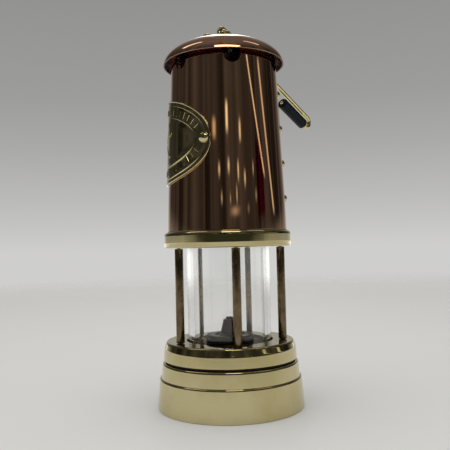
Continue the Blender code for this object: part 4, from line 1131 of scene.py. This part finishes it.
def buildRoom():
    world = bpy.data.worlds.new("studioRoom")
    bpy.context.scene.world = world
    world.use_nodes = True
    tree = world.node_tree
    tree.nodes.clear()

    def sums(operation, *values):
        return mathOf(tree, operation, *values)

    def step(value, low, high):
        return rangeOf(tree, value, low, high, interpolation_type="SMOOTHSTEP")

    def band(value, low, high, soft):
        return sums("MULTIPLY", step(value, low - soft, low + soft), step(value, high + soft, high - soft))

    way = addNode(tree, "ShaderNodeTexCoord").outputs["Generated"]
    ahead, aside, upward = addNode(tree, "ShaderNodeSeparateXYZ", {0: way}).outputs
    azimuth = sums("MULTIPLY", sums("ARCTAN2", aside, ahead), math.degrees(1))
    elevation = sums("MULTIPLY", sums("ARCSINE", upward), math.degrees(1))
    spread = sums("ABSOLUTE", azimuth)

    def shade(value, colour):  # scales a colour by a value
        return addNode(tree, "ShaderNodeVectorMath", {0: colour, "Scale": value}, operation="SCALE").outputs[0]

    def plus(one, two):
        return addNode(tree, "ShaderNodeVectorMath", {0: one, 1: two}, operation="ADD").outputs[0]

    # a dark room with soft upright banding, a pale wall behind, and a dim ceiling
    columns = addNode(tree, "ShaderNodeTexNoise", {
        "W": sums("MULTIPLY", azimuth, 0.055), "Scale": 1.0, "Detail": 2.5}, noise_dimensions="1D").outputs["Fac"]
    dark = sums("MULTIPLY", step(columns, 0.2, 0.85), roomLook["dark"] * 1.8)
    glow = shade(sums("ADD", dark, roomLook["least"]), (1.0, 0.93, 0.84))
    behind = sums("MULTIPLY", step(spread, 136, 166), step(elevation, 70, 5))
    haze = sums("MULTIPLY", step(spread, 42, 90), step(elevation, 6, 0))
    for mask, part, colour in ((behind, "wall", (1.0, 0.99, 0.97)), (haze, "haze", (1.0, 1.0, 0.96)),
                               (step(elevation, 0.6, -0.6), "ground", (1.0, 1.0, 0.97)),
                               (step(elevation, 25, 75), "ceiling", (1.0, 0.95, 0.97))):
        glow = plus(glow, shade(sums("MULTIPLY", mask, roomLook[part]), colour))
    for azimuths, elevations, tint in roomShades:
        mask = sums("MULTIPLY", band(azimuth, *azimuths, 1.2), band(elevation, *elevations, 0.8))
        kept = plus(shade(mask, tuple(part - 1 for part in tint)), (1, 1, 1))
        glow = addNode(tree, "ShaderNodeVectorMath", {0: glow, 1: kept}, operation="MULTIPLY").outputs[0]
    for centre, low, high, width, brightness, colour in roomStrips:
        across = band(azimuth, centre - width / 4, centre + width / 4, width * 0.3)
        mask = sums("MULTIPLY", across, band(elevation, low, high, 0.55))
        glow = plus(glow, shade(sums("MULTIPLY", mask, brightness), colour))
    for start, top, lean, width, low, high, brightness, colour in roomTubes:
        centre = sums("ADD", sums("MULTIPLY", sums("SUBTRACT", top, elevation), lean), float(start))
        offset = sums("SUBTRACT", azimuth, centre)
        mask = sums("MULTIPLY", band(offset, -width / 2, width / 2, width * 0.3), band(elevation, low, high, 0.6))
        glow = plus(glow, shade(sums("MULTIPLY", mask, brightness), colour))
    # bright panels high up: one beyond the lamp, and one on each side
    panel = sums("MULTIPLY", step(spread, 173, 176.5), band(elevation, 24.5, 46, 1.5))
    glow = plus(glow, shade(sums("MULTIPLY", panel, roomLook["panel"]), (1.0, 0.99, 0.94)))
    for azimuths, elevations, brightness in sidePanels:
        mask = sums("MULTIPLY", band(azimuth, *azimuths, 2.0), band(elevation, *elevations, 1.0))
        glow = plus(glow, shade(sums("MULTIPLY", mask, brightness), (1.0, 0.95, 0.88)))

    ramp = addNode(tree, "ShaderNodeValToRGB", {"Fac": rangeOf(tree, elevation, 0.0, 25.0)})
    for share, level in wallStops[1:-1]:
        ramp.color_ramp.elements.new(share)
    for element, (share, level) in zip(ramp.color_ramp.elements, wallStops):
        element.color = (level, level * 0.995, level * 0.975, 1)
    light = addNode(tree, "ShaderNodeLightPath").outputs
    mirrored = addNode(tree, "ShaderNodeBackground", {"Color": glow}).outputs[0]
    soft = addNode(tree, "ShaderNodeBackground", {
        "Color": (1.0, 0.99, 0.97, 1), "Strength": roomLook["soft"]}).outputs[0]
    seen = addNode(tree, "ShaderNodeBackground", {"Color": ramp.outputs[0]}).outputs[0]
    # a reflection that is seen through the glass stays a reflection
    bounced = sums("GREATER_THAN", light["Glossy Depth"], 0.5)
    glossy = sums("MAXIMUM", light["Is Glossy Ray"], sums("MULTIPLY", light["Is Transmission Ray"], bounced))
    lit = addNode(tree, "ShaderNodeMixShader", {0: glossy, 1: soft, 2: mirrored}).outputs[0]
    through = sums("MULTIPLY", light["Is Transmission Ray"], sums("SUBTRACT", 1.0, bounced))
    clear = sums("MAXIMUM", light["Is Camera Ray"], through)
    shown = addNode(tree, "ShaderNodeMixShader", {0: clear, 1: lit, 2: seen}).outputs[0]
    tree.links.new(shown, addNode(tree, "ShaderNodeOutputWorld").inputs[0])


floorLook = dict(radius=2.6, colour=(0.85, 0.845, 0.83), fadeFrom=0.5, fadeTo=1.9)


def layFloor():
    edit = bmesh.new()
    bmesh.ops.create_circle(edit, cap_ends=True, segments=96, radius=floorLook["radius"])
    material, tree = newFinish("paleFloor")
    place = addNode(tree, "ShaderNodeTexCoord").outputs["Object"]
    tones = [[part * share for part in floorLook["colour"]] for share in (0.97, 1.0)]
    pale = addNode(tree, "ShaderNodeBsdfPrincipled", {
        "Base Color": twoTones(tree, noiseOf(tree, place, 9.0, 3.0), tones), "Roughness": 0.55,
        "Specular IOR Level": 0.2}).outputs[0]
    away = addNode(tree, "ShaderNodeVectorMath", {0: place}, operation="LENGTH").outputs["Value"]
    fade = rangeOf(tree, away, floorLook["fadeFrom"], floorLook["fadeTo"], interpolation_type="SMOOTHSTEP")
    clear = addNode(tree, "ShaderNodeBsdfTransparent").outputs[0]
    endFinish(tree, addNode(tree, "ShaderNodeMixShader", {0: fade, 1: pale, 2: clear}).outputs[0])
    newPiece("floor", meshFrom(edit, "floor"), material)


panelLook = dict(place=(0.15, -0.1, 1.3), aim=(0, 0, 0.05), size=1.1, power=4.2, colour=(1.0, 0.985, 0.96))
blackLook = dict(place=(0.46, 0, 0.1), tall=0.13, wide=1.1, reach=0.5, rise=0.055, solid=0.72,
                 colour=(0.034, 0.036, 0.026, 1))
paleLook = dict(place=(0.125, 0.018, 0.262), deep=0.05, wide=0.09, colour=(1.0, 0.97, 0.8, 1), strength=3.2)


def hangPanel():  # a soft overhead panel, which mostly warms the floor
    p = panelLook
    light = bpy.data.lights.new("overheadPanel", "AREA")
    light.shape, light.size, light.energy, light.color = "DISK", p["size"], p["power"], p["colour"]
    panel = bpy.data.objects.new("overheadPanel", light)
    panel.location = p["place"]
    panel.rotation_euler = (Vector(p["place"]) - Vector(p["aim"])).to_track_quat("Z", "Y").to_euler()
    panel.visible_glossy = False
    bpy.context.scene.collection.objects.link(panel)


def standCard(name, way, material):  # a card that only the polished metal sees
    edit = bmesh.new()
    bmesh.ops.create_grid(edit, x_segments=1, y_segments=1, size=0.5)
    edit.transform(way)
    card = newPiece(name, meshFrom(edit, name), material)
    card.visible_camera = card.visible_diffuse = card.visible_transmission = card.visible_shadow = False


def standCards():
    b, p = blackLook, paleLook
    material, tree = newFinish("blackCard")  # a dark oval in front of the lamp
    place = addNode(tree, "ShaderNodeMapping", {
        "Vector": addNode(tree, "ShaderNodeTexCoord").outputs["Object"],
        "Location": (0, 0, -b["place"][2] / b["rise"]), "Scale": (0, 1 / b["reach"], 1 / b["rise"])}).outputs[0]
    away = addNode(tree, "ShaderNodeVectorMath", {0: place}, operation="LENGTH").outputs["Value"]
    black = addNode(tree, "ShaderNodeEmission", {"Color": b["colour"]}).outputs[0]
    clear = addNode(tree, "ShaderNodeBsdfTransparent").outputs[0]
    fade = rangeOf(tree, away, b["solid"], 1.0)
    endFinish(tree, addNode(tree, "ShaderNodeMixShader", {0: fade, 1: black, 2: clear}).outputs[0])
    standCard("blackCard", Matrix.Translation(b["place"]) @ Matrix.Rotation(math.pi / 2, 4, "Y")
              @ Matrix.Diagonal((b["tall"], b["wide"], 1, 1)), material)
    material, tree = newFinish("paleCard")  # a small bright card, which the stepped edges of the brass mirror
    pale = addNode(tree, "ShaderNodeEmission", {"Color": p["colour"], "Strength": p["strength"]})
    endFinish(tree, pale.outputs[0])
    standCard("paleCard", Matrix.Translation(p["place"]) @ Matrix.Diagonal((p["deep"], p["wide"], 1, 1)), material)


cameraView = dict(place=(0.355, 0, 0.0913), lens=48, sensor=36, pitch=2.24, yaw=-0.21, roll=1.37, near=0.01,
                  far=20)


def placeCamera():
    v = cameraView
    camera = bpy.data.cameras.new("viewer")
    camera.lens, camera.sensor_width = v["lens"], v["sensor"]
    camera.clip_start, camera.clip_end = v["near"], v["far"]
    eye = bpy.data.objects.new("viewer", camera)
    pitch, yaw, roll = (math.radians(v[turn]) for turn in ("pitch", "yaw", "roll"))
    eye.matrix_world = (Matrix.Translation(v["place"]) @ Matrix.Rotation(math.pi / 2 - yaw, 4, "Z")
                        @ Matrix.Rotation(math.pi / 2 + pitch, 4, "X") @ Matrix.Rotation(-roll, 4, "Z"))
    bpy.context.scene.collection.objects.link(eye)
    bpy.context.scene.camera = eye


buildRoom()
layFloor()
hangPanel()
standCards()
placeCamera()
bpy.context.scene.view_settings.view_transform = "Standard"
print("room, floor and camera ready")
